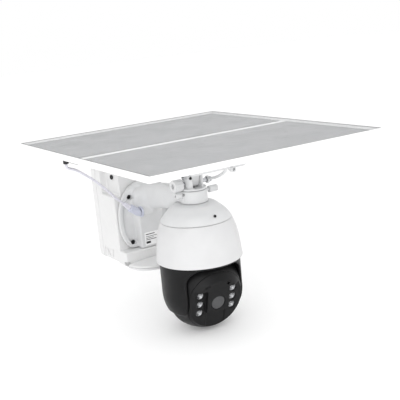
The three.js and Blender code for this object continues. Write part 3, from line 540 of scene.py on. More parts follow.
def finished(made, slot, body, *nodes, material=None):
    """Gives a piece the material named by slot, puts it on its body and hides the CAD nodes it stands for."""
    made.data.materials.append(material or MATERIALS[slot])
    if body:
        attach(made, body)
    if nodes:
        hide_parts(*nodes)
    return made


def cast(name, distance, axes, slot, *nodes, body="root", place=OBJECT_PLACE, material=None):
    """A distance's surface, on grid lines given for each axis as grid_lines takes them."""
    points, faces, normals = surface_net(distance, [grid_lines(*axis) for axis in axes])
    return finished(piece(name, points, faces, place, normals), slot, body, *nodes, material=material)


def turned(name, profile, place, segments, slot, *nodes, body="root", material=None):
    """Turned about the local Z axis from [radius, height] points; the outline closes on itself."""
    angles = np.arange(segments) * 2 * math.pi / segments
    points = []
    rings = []
    for radius, height in profile:
        if radius < 1e-6:
            rings.append([len(points)] * segments)
            points.append((0, 0, height))
            continue
        rings.append(list(range(len(points), len(points) + segments)))
        points.extend((radius * math.cos(a), radius * math.sin(a), height) for a in angles)
    made = piece(name, points, quads_between(rings), place)
    return finished(made, slot, body, *nodes, material=material)


def bored(body, p, axis, *bores):
    """The body less a rod for each (radius, start, end, centre), their rims broken."""
    for bore in bores:
        body = cut(body, rod(p, axis, *bore), 0.3)
    return body


# -------- camera
LENS = 68.63
FROM_AZIMUTH = math.radians(-31.7)
ELEVATION = math.radians(13.5)
ROLL = math.radians(-5.18)
CAMERA_OFFSET = Vector((-464.13, -764.55, 285.33))


def make_camera():
    """At the height and bearing of a product shot, rolled slightly."""
    data = bpy.data.cameras.new("camera")
    data.lens = LENS
    data.sensor_width = 36
    data.clip_end = 20
    camera = bpy.data.objects.new("camera", data)
    bpy.context.scene.collection.objects.link(camera)
    level = Matrix.Rotation(FROM_AZIMUTH, 4, "Z") @ Matrix.Rotation(math.pi / 2 - ELEVATION, 4, "X")
    camera.matrix_world = Matrix.Translation(RIM + CAMERA_OFFSET * MM) @ level @ Matrix.Rotation(ROLL, 4, "Z")
    bpy.context.scene.camera = camera


make_camera()

# -------- solar lead
LEAD_ROUTE = [
    (-136, 52, 133.8), (-136, 52, 130.5), (-133, 53, 128), (-127, 55.5, 125.6), (-122.6, 57, 123.4),
    (-118, 58.5, 120.5), (-108, 62.5, 113.4), (-98, 67, 106), (-88, 72.5, 97.6), (-78, 79, 88.8),
    (-69, 85.5, 80.6), (-60, 93.2, 72.4), (-54, 97.6, 67.6), (-49.2, 100.8, 63.8), (-44.8, 103.6, 60.3),
]
LEAD_RADIUS = 1.5


def solar_lead():
    """Two tubes end to end along the lead's route, both left unattached; the swivel and the panel's tilt both
    move the real lead.
    """
    line = catmull(LEAD_ROUTE, 8)
    middle = len(line) // 2
    upper = line[: middle + 1]
    lower = line[middle:]
    halves = (
        ("solar_lead_upper", upper[::-1], "panel_swivel", "solar_panel"),
        ("solar_lead_lower", lower[::-1], "root", "panel_swivel"),
    )
    for name, points, near, far in halves:
        tube = swept(name, points, [LEAD_RADIUS] * len(points), 16)
        tube.data.materials.append(MATERIALS["lead_jacket"])
        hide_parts("panel_lead")
        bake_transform(tube)


SOCKET_Y, SOCKET_Z = 108.5, 42.3


def lead_plug():
    """An elbow plug with a ribbed boot that narrows onto the lead."""
    y, z = SOCKET_Y, SOCKET_Z
    rib_count, rib_depth = 5, 0.22
    barrel = catmull([(-19.6, y, z), (-21.4, y, z), (-26.5, y + 0.8, z + 3.6), (-33, y + 1.5, z + 8.4)], 8)
    radii = np.full(len(barrel), 5.2)
    radii[0] = 4.7
    radii[-1] = 4.4
    radii[-2] = 5.0
    finished(swept("lead_plug_barrel", barrel, radii, 32), "connector_grey", "root", "lead_plug")
    boot = catmull([(-31, y + 1.4, z + 7), (-38, y - 0.4, z + 12.7), (-44.5, y - 4.7, z + 17.7)], 14)
    share = np.linspace(0, 1, len(boot))
    ribs = rib_depth * np.sin(share * 2 * math.pi * rib_count)
    radii = 3.5 - 1.3 * share**1.5 + np.where((share > 0.15) & (share < 0.95), ribs, 0)
    radii[-1] = 1.6
    finished(swept("lead_plug_boot", boot, radii, 28), "lead_jacket", "root", "lead_plug")


def lead_socket():
    y, z = SOCKET_Y, SOCKET_Z
    along_x = OBJECT_PLACE @ Matrix.Translation((0, y, z)) @ Matrix.Rotation(-math.pi / 2, 4, "Y")
    flange = rounded([(0.5, 16.8), (7.2, 16.8), (7.2, 19.2), (5.4, 19.2), (5.4, 18.4), (0.5, 18.4)], 0.5)
    neck = rounded([(0.5, 10.6), (4.8, 10.6), (4.8, 16.7), (0.5, 16.7)], 0.3)
    turned("lead_socket_flange", flange, along_x, 64, "connector_grey", "lead_socket")
    turned("lead_socket_neck", neck, along_x, 48, "connector_grey", "lead_socket")


# -------- wall box
NOTCH_DEEP, NOTCH_REAR, NOTCH_LOW = 10, 172, 62
FOOT_DEEP, FOOT_FRONT, FOOT_REAR, FOOT_HIGH = 4, 140, 183.6, -15
BOX_FRONT = 136
CHIN_FRONT, CHIN_LOW, CHIN_HIGH = 117, -31, -12
SHOULDER_Y, SHOULDER_Z = 153, 86
FLANGE_SCREWS = [(-23, 60), (23, 60), (-23.4, -2.8), (23.4, -2.8)]
BUTTONS = [(4, 154, -23.5), (2, 170, -23.5)]
VENT_HEIGHTS = (-25.4, -27.2, -29)
FOOT_SLOTS = [(165, -23, 0), (177, -24.5, 38)]


def recesses(p, grow, edge):
    """The stepped shoulders and foot pockets of both sides, grown by a wall where asked."""
    q = mirrored(p)
    inner = BOX_HALF - NOTCH_DEEP - grow
    shoulder = block(q, (inner, 100, NOTCH_LOW - grow), (70, NOTCH_REAR + grow, 130), edge)
    foot_in = BOX_HALF - FOOT_DEEP - grow
    foot = block(q, (foot_in, FOOT_FRONT - grow, -60), (70, FOOT_REAR + grow, FOOT_HIGH + grow), edge / 2)
    return shoulder, foot


def case_room(p):
    """The front case's hollow: behind its face, and down into the chin."""
    x, y, z = p.T
    low, high = BOX_LOW[2] + WALL, BOX_HIGH[2] - WALL
    half = BOX_HALF - WALL
    room = prism(rounded_rect(x, z, (-half, low), (half, high), 3), y, BOX_FRONT + WALL, CASE_SEAM + 30, 1.0)
    for recess in recesses(p, WALL, 3.2):
        room = cut(room, recess, 0.8)
    chin = block(p, (-half, CHIN_FRONT + WALL, CHIN_LOW + WALL), (half, BOX_FRONT + 5, CHIN_HIGH - WALL), 1.0)
    return joined(room, chin)


def opened_case(body, p):
    """The front case with its vents, screw holes, wire way, button cups and foot slots."""
    x, y, z = p.T
    folded = mirrored(p)
    for height in VENT_HEIGHTS:
        slot = block(folded, (36.5, 100, height - 0.45), (60, CHIN_FRONT + 7, height + 0.45), 0.2)
        body = cut(body, slot, 0.25)
    for sx, sz in FLANGE_SCREWS:
        body = cut(body, maximum(hypot(x - sx, z - sz) - 1.9, np.abs(y - BOX_FRONT) - 6))
    body = cut(body, rod(p, "y", 7, 130, 142, (0, 20)), 0.5)
    floor = BOX_HALF - FOOT_DEEP
    for radius, by, bz in BUTTONS:
        body = joined(body, rod(p, "x", radius + 3.9, 31, floor - 1, (by, bz), 0.6), 0.8)
        cup, hole = (radius + 1.7, 32.6, floor - WALL, (by, bz)), (radius + 0.3, 35, 45, (by, bz))
        body = bored(body, p, "x", cup, hole)
    body = cut(body, rod(folded, "x", 1.9, 28, 36, (SHOULDER_Y, SHOULDER_Z)))
    for sy, sz, lean in FOOT_SLOTS:
        q = turned_by(p, (-BOX_HALF + FOOT_DEEP, sy, sz), "X", -lean)
        body = cut(body, block(q, (-4.5, -0.9, -5.5), (4.5, 0.9, 5.5), 0.5), 0.2)
    return body


def front_case_distance(p):
    x, y, z = p.T
    outline = rounded_rect(x, z, (-BOX_HALF, BOX_LOW[2]), (BOX_HALF, BOX_HIGH[2]), 5)
    body = prism(outline, y, BOX_FRONT, CASE_SEAM + 20, 2.2)
    chin = block(p, (-BOX_HALF, CHIN_FRONT, CHIN_LOW), (BOX_HALF, 150, CHIN_HIGH), 2.0)
    shoulder, foot = recesses(p, 0, 3.2)
    body = cut(cut(joined(body, chin, 1.2), shoulder, 1.2), foot, 0.8)
    return opened_case(common(cut(body, case_room(p)), y - CASE_SEAM, 0.4), p)


def front_case():
    axes = (
        (-BOX_HALF, BOX_HALF, 1.2, (-43, -36, 0.7), (36, 43, 0.7)),
        (CHIN_FRONT, CASE_SEAM, 1.2, (116, 126, 0.7), (133, 141, 0.8), (160, 186, 0.7)),
        (BOX_LOW[2], BOX_HIGH[2], 1.2, (-33, -10, 0.45), (58, 66, 0.8), (92, 98, 0.8)),
    )
    cast("front_case_shell", front_case_distance, axes, "case_white", "front_case")


def rear_case_distance(p):
    x, y, z = p.T
    low, high = BOX_LOW, BOX_HIGH
    outline = rounded_rect(x, z, (low[0], low[2]), (high[0], high[2]), 5)
    body = prism(outline, y, low[1] - 20, high[1], 1.6)
    inner = rounded_rect(x, z, (low[0] + WALL, low[2] + WALL), (high[0] - WALL, high[2] - WALL), 3)
    body = cut(body, prism(inner, y, low[1] - 30, high[1] - WALL, 1.0))
    body = common(body, low[1] - y, 0.5)
    return cut(body, rod(p, "y", 6, 190, 210, (0, 10)), 0.6)


def rear_case():
    axes = zip(BOX_LOW, BOX_HIGH, (1.3, 0.8, 1.3))
    cast("rear_case_shell", rear_case_distance, axes, "case_white", "rear_case")


def hood_outline(x, y, inset=0.0):
    straight = CHIN_FRONT - 0.3
    depth = straight - 80 - inset
    half = BOX_HALF - 1.6 - inset
    oval = superellipse(x, y - straight, half, depth, 2.25)
    return maximum(oval, y - straight + inset)


def motion_hood_distance(p):
    x, y, z = p.T
    crown = -24.4 - 2.6 * (x / 41) ** 2 - 2.2 * np.clip((CHIN_FRONT - y) / 37, 0, 1) ** 2
    body = maximum(hood_outline(x, y), -29.6 - z)
    body = common(body, (z - crown) * 0.97, 2.6)
    hollow = maximum(hood_outline(x, y, 2.2), z - crown + 2.2)
    return cut(body, hollow, 0.3)


def motion_lens_distance(p):
    x, y, z = p.T
    body = common(prism(hood_outline(x, y), z, -32.8, -20, 1.2), z + 29.9, 0.4)
    ribs = 0.12 * np.cos(np.arctan2(x, CHIN_FRONT - y) * 48)
    hollow = maximum(hood_outline(x, y, 2.2), -31.4 + ribs - z)
    return cut(body, hollow)


def motion_sensor_cover():
    flat = (-41, 41, 0.9), (80, CHIN_FRONT, 0.9)
    hood_axes = *flat, (-29.6, -24.4, 0.6)
    cast("motion_hood_shell", motion_hood_distance, hood_axes, "case_white", "motion_hood")
    lens_axes = *flat, (-32.8, -29.9, 0.5)
    cast("motion_lens_shell", motion_lens_distance, lens_axes, "sensor_white", "motion_lens")


# -------- screws
def socket_screw(name, head_radius, head_high, place, *nodes, body="root", shank=(1.6, 8.0), socket=1.5):
    """A pan-head screw whose head stands on z = 0 and faces +Z, with a hexagon socket."""

    def distance(p):
        x, y, z = p.T
        head = rod(p, "z", head_radius, 0, head_high, edge=min(0.7, 0.45 * head_high))
        head = joined(head, rod(p, "z", shank[0], -shank[1], 0.5, edge=0.3))
        return cut(head, prism(hexagon(x, y, 2 * socket), z, head_high * 0.35, head_high + 3), 0.12)

    step = 0.32
    across = (-head_radius, head_radius, step)
    axes = across, across, (-shank[1], head_high, step)
    cast(name, distance, axes, "black_screw", *nodes, body=body, place=place)


def facing(x, y, z, direction):
    """A place whose +Z points along a direction."""
    turn = Vector(direction).to_track_quat("Z", "Y").to_matrix().to_4x4()
    return OBJECT_PLACE @ Matrix.Translation((x, y, z)) @ turn


CAP_SCREWS = [(3.5, "front"), (130, "rear")]
CAP_SCREW_LEAN = 50


def screws():
    for number, (x, z) in enumerate(FLANGE_SCREWS, 1):
        place = facing(x, ARM_FACE - 2.7, z, (0, -1, 0))
        socket_screw(f"flange_screw_head_{number}", 2.9, 2.0, place, f"flange_screw_{number}")
    for side, word in ((-1, "left"), (1, "right")):
        face = BOX_HALF - NOTCH_DEEP + 0.3
        place = facing(side * face, SHOULDER_Y, SHOULDER_Z, (side, 0, 0))
        socket_screw(f"shoulder_screw_{word}", 3.2, 2.0, place, f"case_screw_{word}", shank=(1.6, 6.0))
    lean = Matrix.Rotation(math.radians(CAP_SCREW_LEAN), 4, "X")
    for bearing, word in CAP_SCREWS:
        turn = Matrix.Rotation(math.radians(bearing), 4, "Z")
        place = OBJECT_PLACE @ turn @ Matrix.Translation((0, -38.9, 57.1)) @ lean
        socket_screw(f"cap_screw_{word}_head", 1.85, 1.0, place, f"cap_screw_{word}",
                     shank=(1.2, 2.6), socket=0.8)


# -------- arm
ARM_FACE = 134.5
ARM_LOW = -11.4
ARM_HALF = 16.5
COLLAR_R, COLLAR_LOW, COLLAR_HIGH = 16.5, 69.6, 85.0
CLAMP_Z, CLAMP_R = 80.6, 4.15
CAP_R = [17, 21, 26.4, 30.3, 35, 40.3, 43.6]
CAP_Z = [69.3, 69, 67.2, 64, 60, 54, 49]
NECK_Y = [0, 20, 34, 48, 62, 78, 94, 106, 118, 134]
NECK_HIGH = [84.6, 84.9, 85, 84.6, 83.6, 82, 79.8, 77.4, 74, 69]
NECK_LOW = [68, 64, 58, 53, 51, 49, 46, 42, 34, 24]
NECK_HALF = [16.5, 15.6, 14, 12, 10.6, 9.8, 9.6, 10.2, 12, 15.5]

WIRE_ROUTE = [(0, 5, 76), (0, 30, 76), (0, 60, 70), (0, 95, 64), (0, 128, 52)]


def flange_outline(x, z):
    oval = superellipse(x, z - 28, 40, 48, 2.3)
    return common(oval, -11 - z, 3)


def dome_crown(p, gap):
    """Distance to the solid dome cap, grown by a gap."""
    radius = hypot(p[:, 0], p[:, 1])
    return maximum((p[:, 2] - spline(radius, CAP_R, CAP_Z)) * 0.8, radius - CAP_R[-1]) - gap


def arm_bulk(p):
    """The flange, post, neck, collar, lead boss and clamp ear, without their holes."""
    x, y, z = p.T
    outline = flange_outline(x, z)
    plate = prism(outline, y, ARM_FACE - 5.2, ARM_FACE, 1.1)
    plate = cut(plate, prism(outline + 5.5, y, ARM_FACE - 9, ARM_FACE - 2.4, 1.2), 0.7)
    post = block(p, (-ARM_HALF, 118, ARM_LOW), (ARM_HALF, ARM_FACE - 1, 64), 1.8)
    high, low = spline(y, NECK_Y, NECK_HIGH), spline(y, NECK_Y, NECK_LOW)
    oval = superellipse(x, z - (high + low) / 2, spline(y, NECK_Y, NECK_HALF), (high - low) / 2, 2.5)
    neck = common(oval, np.abs(y - 66) - 66, 1.5)
    body = joined(plate, post, 1.0)
    body = joined(body, neck, 20)
    body = joined(body, rod(p, "x", 7.2, -ARM_HALF, -3, (SOCKET_Y, SOCKET_Z), 0.4), 4)
    body = joined(body, rod(p, "z", COLLAR_R, COLLAR_LOW, COLLAR_HIGH, edge=0.8), 3.0)
    body = common(body, maximum(y - ARM_FACE, z - COLLAR_HIGH), 0.6)
    body = cut(body, dome_crown(p, 0.2), 0.3)
    ear = rod(p, "x", CLAMP_R, -26, -10, (0, CLAMP_Z), 0.6)
    return joined(body, ear, 0.8)


def arm_distance(p):
    x, y, z = p.T
    body = cut(arm_bulk(p), prism(hexagon(y, z - CLAMP_Z, 3.0), x, -30, -22), 0.2)
    body = cut(body, rod(p, "x", 2.3, 8, 30, (0, CLAMP_Z)), 0.3)
    body = cut(body, rod(p, "z", 9, COLLAR_LOW + 2, 90), 0.4)
    body = cut(body, rod(p, "x", 1.6, -18, -12, (-3.2, 81.3)), 0.3)
    way = joined(block(p, (-11, 120.8, 8), (11, 140, 58), 3), capsule_chain(p, WIRE_ROUTE, 4.2), 3)
    body = cut(body, way, 0.4)
    body = cut(body, rod(p, "x", 5.2, -20, -10, (SOCKET_Y, SOCKET_Z)), 0.3)
    for sx, sz in FLANGE_SCREWS:
        body = cut(body, rod(p, "y", 1.9, 120, 140, (sx, sz)))
        body = cut(body, rod(p, "y", 3.3, 120, ARM_FACE - 2.4, (sx, sz)), 0.3)
    return body


def arm():
    axes = (
        (-40, 40, 1.1, (-27, -15, 0.7)),
        (-COLLAR_R, ARM_FACE, 1.1, (-17, 17, 0.8), (126, 135, 0.6)),
        (ARM_LOW, COLLAR_HIGH, 1.1, (76, 86, 0.7)),
    )
    cast("arm_casting", arm_distance, axes, "arm_white", "arm")


LABEL_LOW, LABEL_HIGH = (-11.5, -8.5), (9.5, 9.5)
LABEL_FACE = 117.6
BAR_ROWS = [(6.6, 14, 1.1), (3.6, 17, 0.8), (1.4, 12, 0.8), (-0.8, 16, 0.8), (-4.6, 7, 3.2)]
BAR_INDENT = 1.5


def arm_label():
    """A pale plate on the post's front with plain bars where a maker would print."""
    (left, low), (right, high) = LABEL_LOW, LABEL_HIGH

    def sheet(p):
        outline = rounded_rect(p[:, 0], p[:, 2], (left, low), (right, high), 0.8)
        return prism(outline, p[:, 1], LABEL_FACE, LABEL_FACE + 0.3, 0.08)

    def bars(p):
        x, y, z = p.T
        start = left + BAR_INDENT
        best = np.full(len(p), FAR)
        for height, length, thick in BAR_ROWS:
            corners = (start, height - thick / 2), (start + length, height + thick / 2)
            outline = rounded_rect(x, z, *corners, 0.3)
            best = minimum(best, prism(outline, y, LABEL_FACE - 0.12, LABEL_FACE - 0.01))
        return best

    across, tall = (left, right, 0.3), (low, high, 0.25)
    cast("arm_label_plate", sheet, (across, (LABEL_FACE, LABEL_FACE + 0.3, 0.1), tall), "back_sheet")
    cast("arm_label_bars", bars, (across, (LABEL_FACE - 0.12, LABEL_FACE, 0.05), tall), "inner_black")


def clamp_bolt():
    """A knurled thumb bolt on a threaded shank, lying along +X."""
    def distance(p):
        x, y, z = p.T
        angle = np.arctan2(z - CLAMP_Z, y)
        grip = rod(p, "x", CLAMP_R, 21.5, 33.5, (0, CLAMP_Z), 0.7)
        knurl = 0.12 * (1 + np.cos(18 * angle)) * (x > 24) * (x < 32)
        grip = grip + knurl
        return joined(grip, rod(p, "x", 2.0, 10.5, 22, (0, CLAMP_Z), 0.3))

    axes = (10.5, 33.5, 0.45), (-CLAMP_R, CLAMP_R, 0.35), (CLAMP_Z - CLAMP_R, CLAMP_Z + CLAMP_R, 0.35)
    cast("clamp_bolt_grip", distance, axes, "arm_white", "clamp_bolt", body="clamp_bolt")


# -------- dome
SKIRT_Z = [0, 6, 15, 27, 40, 48.6]
SKIRT_R = [53.3, 52.5, 51.6, 50, 46.8, 43.6]


def dome():
    heights = np.linspace(0.8, 48.0, 40)
    outside = [(spline(z, SKIRT_Z, SKIRT_R), z) for z in heights]
    inside = [(r - 2.2, z) for r, z in outside[::-1]]
    inner, outer = inside[-1][0], outside[0][0]
    rim = [(inner + 0.1, 0.25), (inner + 0.6, 0), (outer - 0.7, 0), (outer - 0.1, 0.3)]
    lip = [(outside[-1][0] - 0.5, 48.55), (inside[0][0] + 0.3, 48.6)]
    profile = [*outside, *lip, *inside, *rim]
    turned("dome_skirt_shell", profile, OBJECT_PLACE, 160, "dome_white", "dome_skirt")
    radii = np.linspace(42.9, 17, 34)
    crown = [(r, spline(r, CAP_R, CAP_Z)) for r in radii]
    edge = [(42.9, 49.0), (43.45, 49.15), (43.35, 49.5)]
    under = [(5.6, 67), (18, 67), (24, 65.6), (28.5, 62.2), (33, 58), (38, 52), (41.0, 49)]
    profile = [*edge, *crown, (5.6, 69.3), *under]
    turned("dome_cap_shell", profile, OBJECT_PLACE, 160, "arm_white", "dome_cap")


# -------- yoke
HUB_R = 9.25
MODULE = 1.5
TILT_TIP = MODULE * 24 / 2 + 0.8 * MODULE
PINION_TIP = MODULE * 10 / 2 + 0.8 * MODULE
PINION_Z = BALL_Z + MODULE * 34 / 2 + 0.05
YOKE_BORES = [
    (TILT_TIP + 0.9, 30, 41.1, (0, BALL_Z)), (PINION_TIP + 0.9, 30, 41.1, (0, PINION_Z)),
    (9.8, 30, 47.6, (0, PINION_Z)), (6.8, 40, 46.2, (0, BALL_Z)), (6.8, -44.6, -30, (0, BALL_Z)),
]


def yoke_distance(p):
    x, y, z = p.T
    drop = z - BALL_Z
    around = hypot(x, y)
    body = np.where(drop > 0, around, np.sqrt(around**2 + drop**2)) - YOKE_R
    body = common(body, z - 1.6, 0.5)
    body = common(body, -63 - z, 3.0)
    neck = prism(around - 46, z, -8, 12.6, 0.6)
    hub = prism(around - HUB_R, z, 8, 20, 0.4)
    body = joined(joined(body, neck, 0.8), hub, 1.0)
    arch = rounded_rect(x, z, (-SLOT_HALF, -130), (SLOT_HALF, -4), 17)
    body = cut(body, arch, 3.6)
    room = maximum(np.sqrt(around**2 + drop**2) - (BALL_R + 0.6), np.abs(x) - SLOT_HALF)
    body = cut(body, room, 0.3)
    body = cut(body, prism(around - 5.4, z, -10, 30), 0.4)
    return bored(body, p, "x", *YOKE_BORES)


def yoke():
    axes = (
        (-YOKE_R, YOKE_R, 1.1, (-50, -35, 0.8), (35, 50, 0.8)),
        (-YOKE_R, YOKE_R, 1.1, (-50, -38, 0.8)),
        (-63, 20, 1.1, (-10, 3, 0.8), (-63, -56, 0.8)),
    )
    cast("yoke_shell", yoke_distance, axes, "head_black", "yoke", body="head_yoke", place=YOKE_PLACE)


# -------- camera ball, looking along -Y
FACE_SEAM, FACE_BASE, FACE_RAISED, FACE_CHANNEL = -30, -33.5, -38.5, -32.3
LED_X, LED_PITCH, LED_R = 22.7, 12, 4.75
LAMP_R, LAMP_TIP = 1.9, -31.0
WINDOW_R, LENS_HOLE_R = 8.8, 7.6
LIGHT_X, LIGHT_Z = 12.7, 24.2
MIC_X, MIC_Z = -15.6, 25.3
LED_PLACES = [(side * LED_X, row * LED_PITCH) for side in (-1, 1) for row in (-1, 0, 1)]


def barrel_of_ball(p, radius, half, edge):
    return common(np.linalg.norm(p, axis=1) - radius, np.abs(p[:, 0]) - half, edge)


def ball_shell_distance(p):
    body = common(barrel_of_ball(p, BALL_R, BALL_HALF, 1.6), FACE_SEAM - p[:, 1], 0.3)
    room = barrel_of_ball(p, BALL_R - WALL, BALL_HALF - WALL, 1.0)
    body = cut(body, room)
    return joined(body, rod(p, "x", 4.0, -44.2, -35, (0, 0), 0.4), 0.4)


def face_plate_distance(p):
    x, y, z = p.T
    body = common(barrel_of_ball(p, BALL_R, BALL_HALF, 1.6), y - (FACE_SEAM - 0.3), 0.3)
    raised = common(np.abs(x) - 15, -12.7 - z, 1.5)
    disc = 19.4 - z
    body = common(body, FACE_BASE - 5 - y, 0.9)
    top = joined(raised, disc, 2.0)
    beds = maximum(-top, y - FACE_BASE)
    body = cut(body, beds, 0.55)
    channel = common(common(np.abs(x) - 13, z + 12.7, 1.5), y - FACE_CHANNEL, 0.4)
    body = cut(body, channel, 0.5)
    body = cut(body, block(p, (-12.4, FACE_RAISED + 2, -10.6), (12.4, FACE_SEAM + 3, 27), 1.0))
    body = cut(body, rod(p, "y", WINDOW_R + 0.6, -50, FACE_RAISED + 1.2), 0.25)
    body = cut(body, rod(p, "y", LENS_HOLE_R, -50, 0), 0.25)
    for lx, lz in LED_PLACES:
        body = cut(body, rod(p, "y", LED_R, -50, 0, (lx, lz)), 0.35)
    body = cut(body, rod(p, "y", 1.9, -50, 0, (LIGHT_X, LIGHT_Z)), 0.2)
    for middle in (MIC_X - 2.2, MIC_X, MIC_X + 2.2):
        slit = block(p, (middle - 0.6, -50, MIC_Z - 0.7), (middle + 0.6, -37.2, MIC_Z + 0.7))
        body = cut(body, slit, 0.1)
    return body


def at_each_led(p, shape):
    """The nearest of the six lamps; shape takes a distance from the lamp's axis and a depth."""
    best = np.full(len(p), FAR)
    for x, z in LED_PLACES:
        best = minimum(best, shape(hypot(p[:, 0] - x, p[:, 2] - z), p[:, 1]))
    return best


def led_cup_distance(p):
    """A bright cone that opens forwards."""

    def cup(around, y):
        shell = prism(around - (LED_R - 0.15), y, -32.2, -29.6, 0.2)
        cone = (around - (2.0 + (-29.9 - y) * 1.15)) * 0.66
        return cut(shell, maximum(cone, y + 29.9), 0.1)

    return at_each_led(p, cup)


def led_lamp_distance(p):
    """A clear stem with a domed tip, standing in the cup."""

    def lamp(around, y):
        stem = prism(around - LAMP_R, y, LAMP_TIP, -29.0, 0.2)
        return joined(stem, np.sqrt(around**2 + (y - LAMP_TIP) ** 2) - LAMP_R)

    return at_each_led(p, lamp)


LENS_BARREL = [
    (0, 20), (9.0, 20), (9.2, 20.2), (9.2, 29.6), (8.9, 30), (7, 30), (7, 35.3), (6.7, 35.6), (5.9, 35.6),
    (5.6, 35.2), (4.6, 34.2), (4.4, 33.7), (0, 33.7),
]
BEAD_R, BEAD_BASE, BEAD_RISE = 4.3, 33.8, 0.9


def ball():
    on_ball = {"body": "camera_ball", "place": BALL_PLACE}
    shell_axes = (-44.2, BALL_HALF, 1.1), (FACE_SEAM, BALL_R, 1.1), (-BALL_R, BALL_R, 1.1)
    cast("ball_cover", ball_shell_distance, shell_axes, "head_black", "ball_shell", **on_ball)
    face_axes = (
        (-BALL_HALF, BALL_HALF, 0.8),
        (FACE_RAISED, FACE_SEAM - 0.3, 0.6),
        (-BALL_R, BALL_R, 0.8, (MIC_Z - 2, MIC_Z + 2, 0.5)),
    )
    cast("face_bezel", face_plate_distance, face_axes, "head_black", "face_plate", **on_ball)
    across, tall = (-28, 28, 0.5), (-17.5, 17.5, 0.5)
    cups = across, (-33.2, -29, 0.4), tall
    cast("led_cups", led_cup_distance, cups, "led_lamp", "led_bank_left", "led_bank_right", **on_ball)
    lamps = across, (-34.2, -29, 0.4), tall
    cast("led_lamps", led_lamp_distance, lamps, "led_lamp", material=MATERIALS["panel_glass"], **on_ball)
    forwards = BALL_PLACE @ Matrix.Rotation(math.pi / 2, 4, "X")
    body = "camera_ball"
    pane = [(0, 37.35), (8.6, 37.35), (8.8, 37.5), (8.8, 37.8), (8.6, 37.95), (0, 37.95)]
    turned("window_pane", pane, forwards, 96, "lens_glass", "lens_window", body=body)
    turned("lens_housing", LENS_BARREL, forwards, 96, "lens_black", "lens_barrel", body=body)
    curve = [(r, BEAD_BASE + BEAD_RISE - BEAD_RISE * (r / BEAD_R) ** 2) for r in np.linspace(BEAD_R, 0, 10)]
    bead = [(0, BEAD_BASE), *curve]
    turned("lens_element", bead, forwards, 64, "lens_glass", body=body, material=MATERIALS["lens_black"])


# -------- panel bracket
FORK_LOW = 85.3
BRACKET_LOW, BRACKET_HIGH = PANEL_LOW[2] - 1.8, PANEL_LOW[2] + 1.2


def fork_distance(p):
    x, y, z = p.T
    around = hypot(x, y)
    stem = prism(around - 8.94, z, 72, 87, 0.4)
    disc = prism(around - 15.8, z, FORK_LOW, 88, 0.5)
    column = prism(around - 12.5, z, 86, 108, 0.5)
    crown = minimum(hypot(y, z - PIVOT_Z) - 12.5, maximum(np.abs(y) - 12.5, z - PIVOT_Z))
    column = common(column, crown, 1.0)
    body = joined(joined(stem, disc), column, 1.2)
    body = cut(body, block(p, (-6.4, -30, 87.4), (6.4, 30, 130), 0.8), 0.6)
    body = cut(body, rod(p, "x", 2.56, -30, 30, (0, PIVOT_Z)), 0.3)
    return cut(body, rod(p, "z", 4, 60, 89), 0.4)


def swivel_fork():
    body = "panel_swivel"
    across = (-15.8, 15.8, 0.6)
    axes = across, across, (72, 105.5, 0.6)
    cast("fork_casting", fork_distance, axes, "arm_white", "swivel_fork", body=body)
    end = [(0, 24.2), (3.0, 24.2), (3.2, 24.5), (3.2, 25.6), (2.6, 26.3), (0, 26.4)]
    shank = [(0, -16), (2.1, -16), (2.4, -15.7), (2.4, 24.1), (0, 24.1)]
    along_x = OBJECT_PLACE @ Matrix.Translation((0, 0, PIVOT_Z)) @ Matrix.Rotation(math.pi / 2, 4, "Y")
    turned("tilt_bolt_shank", shank, along_x, 48, "steel", "tilt_bolt", body=body)
    turned("tilt_bolt_end", end, along_x, 48, "steel", "tilt_bolt", body=body)


FORK_SCREWS = [((-8.9, -9.6, 100.8), (0, -1, 0)), ((-12.6, 0, 101), (-1, 0, 0))]


def fork_fittings():
    """The fork's two black screws and the bent wire that links them."""
    for number, (place, direction) in enumerate(FORK_SCREWS, 1):
        spot = facing(*place, direction)
        name = f"fork_screw_{number}"
        socket_screw(name, 1.8, 1.6, spot, body="panel_swivel", shank=(0.9, 1.4), socket=0.8)
    bend = [(-14.6, -1.6, 101.2), (-15.4, -4, 101.6), (-14.6, -6.6, 101.2), (-12.8, -8, 100.4)]
    curve = catmull(bend, 8)
    link = swept("fork_link", curve, [0.7] * len(curve), 14)
    finished(link, "steel", "panel_swivel")


KNOB_R, KNOB_END, KNOB_START = 7.2, -28.2, -16.2


def tilt_knob():
    """A fluted knob with a hexagon recess, on the bolt's -X end."""

    def distance(p):
        x, y, z = p.T
        angle = np.arctan2(z - PIVOT_Z, y)
        barrel = rod(p, "x", KNOB_R, KNOB_END, KNOB_START, (0, PIVOT_Z), 0.9)
        flutes = 0.35 * maximum(np.cos(12 * angle), 0) * (x < -18) * (x > -26.5)
        barrel = barrel + flutes
        return cut(barrel, prism(hexagon(y, z - PIVOT_Z, 6.0), x, -40, -23.5), 0.25)

    step = 0.45
    tall = (PIVOT_Z - KNOB_R, PIVOT_Z + KNOB_R, step)
    axes = (KNOB_END, KNOB_START, step), (-KNOB_R, KNOB_R, step), tall
    cast("tilt_knob_grip", distance, axes, "arm_white", "tilt_knob", body="tilt_knob")


STAY_ROUTE = [(21.2, -1, 93.6), (20.6, -18, 97.6), (15, -39, 104.4), (11.6, -54, 111.4), (11.4, -58.4, 119)]
PLATE_X, PLATE_Y = 39, 60
STAY_SCREW_X, STAY_SCREW_Z = 17.5, 113.6


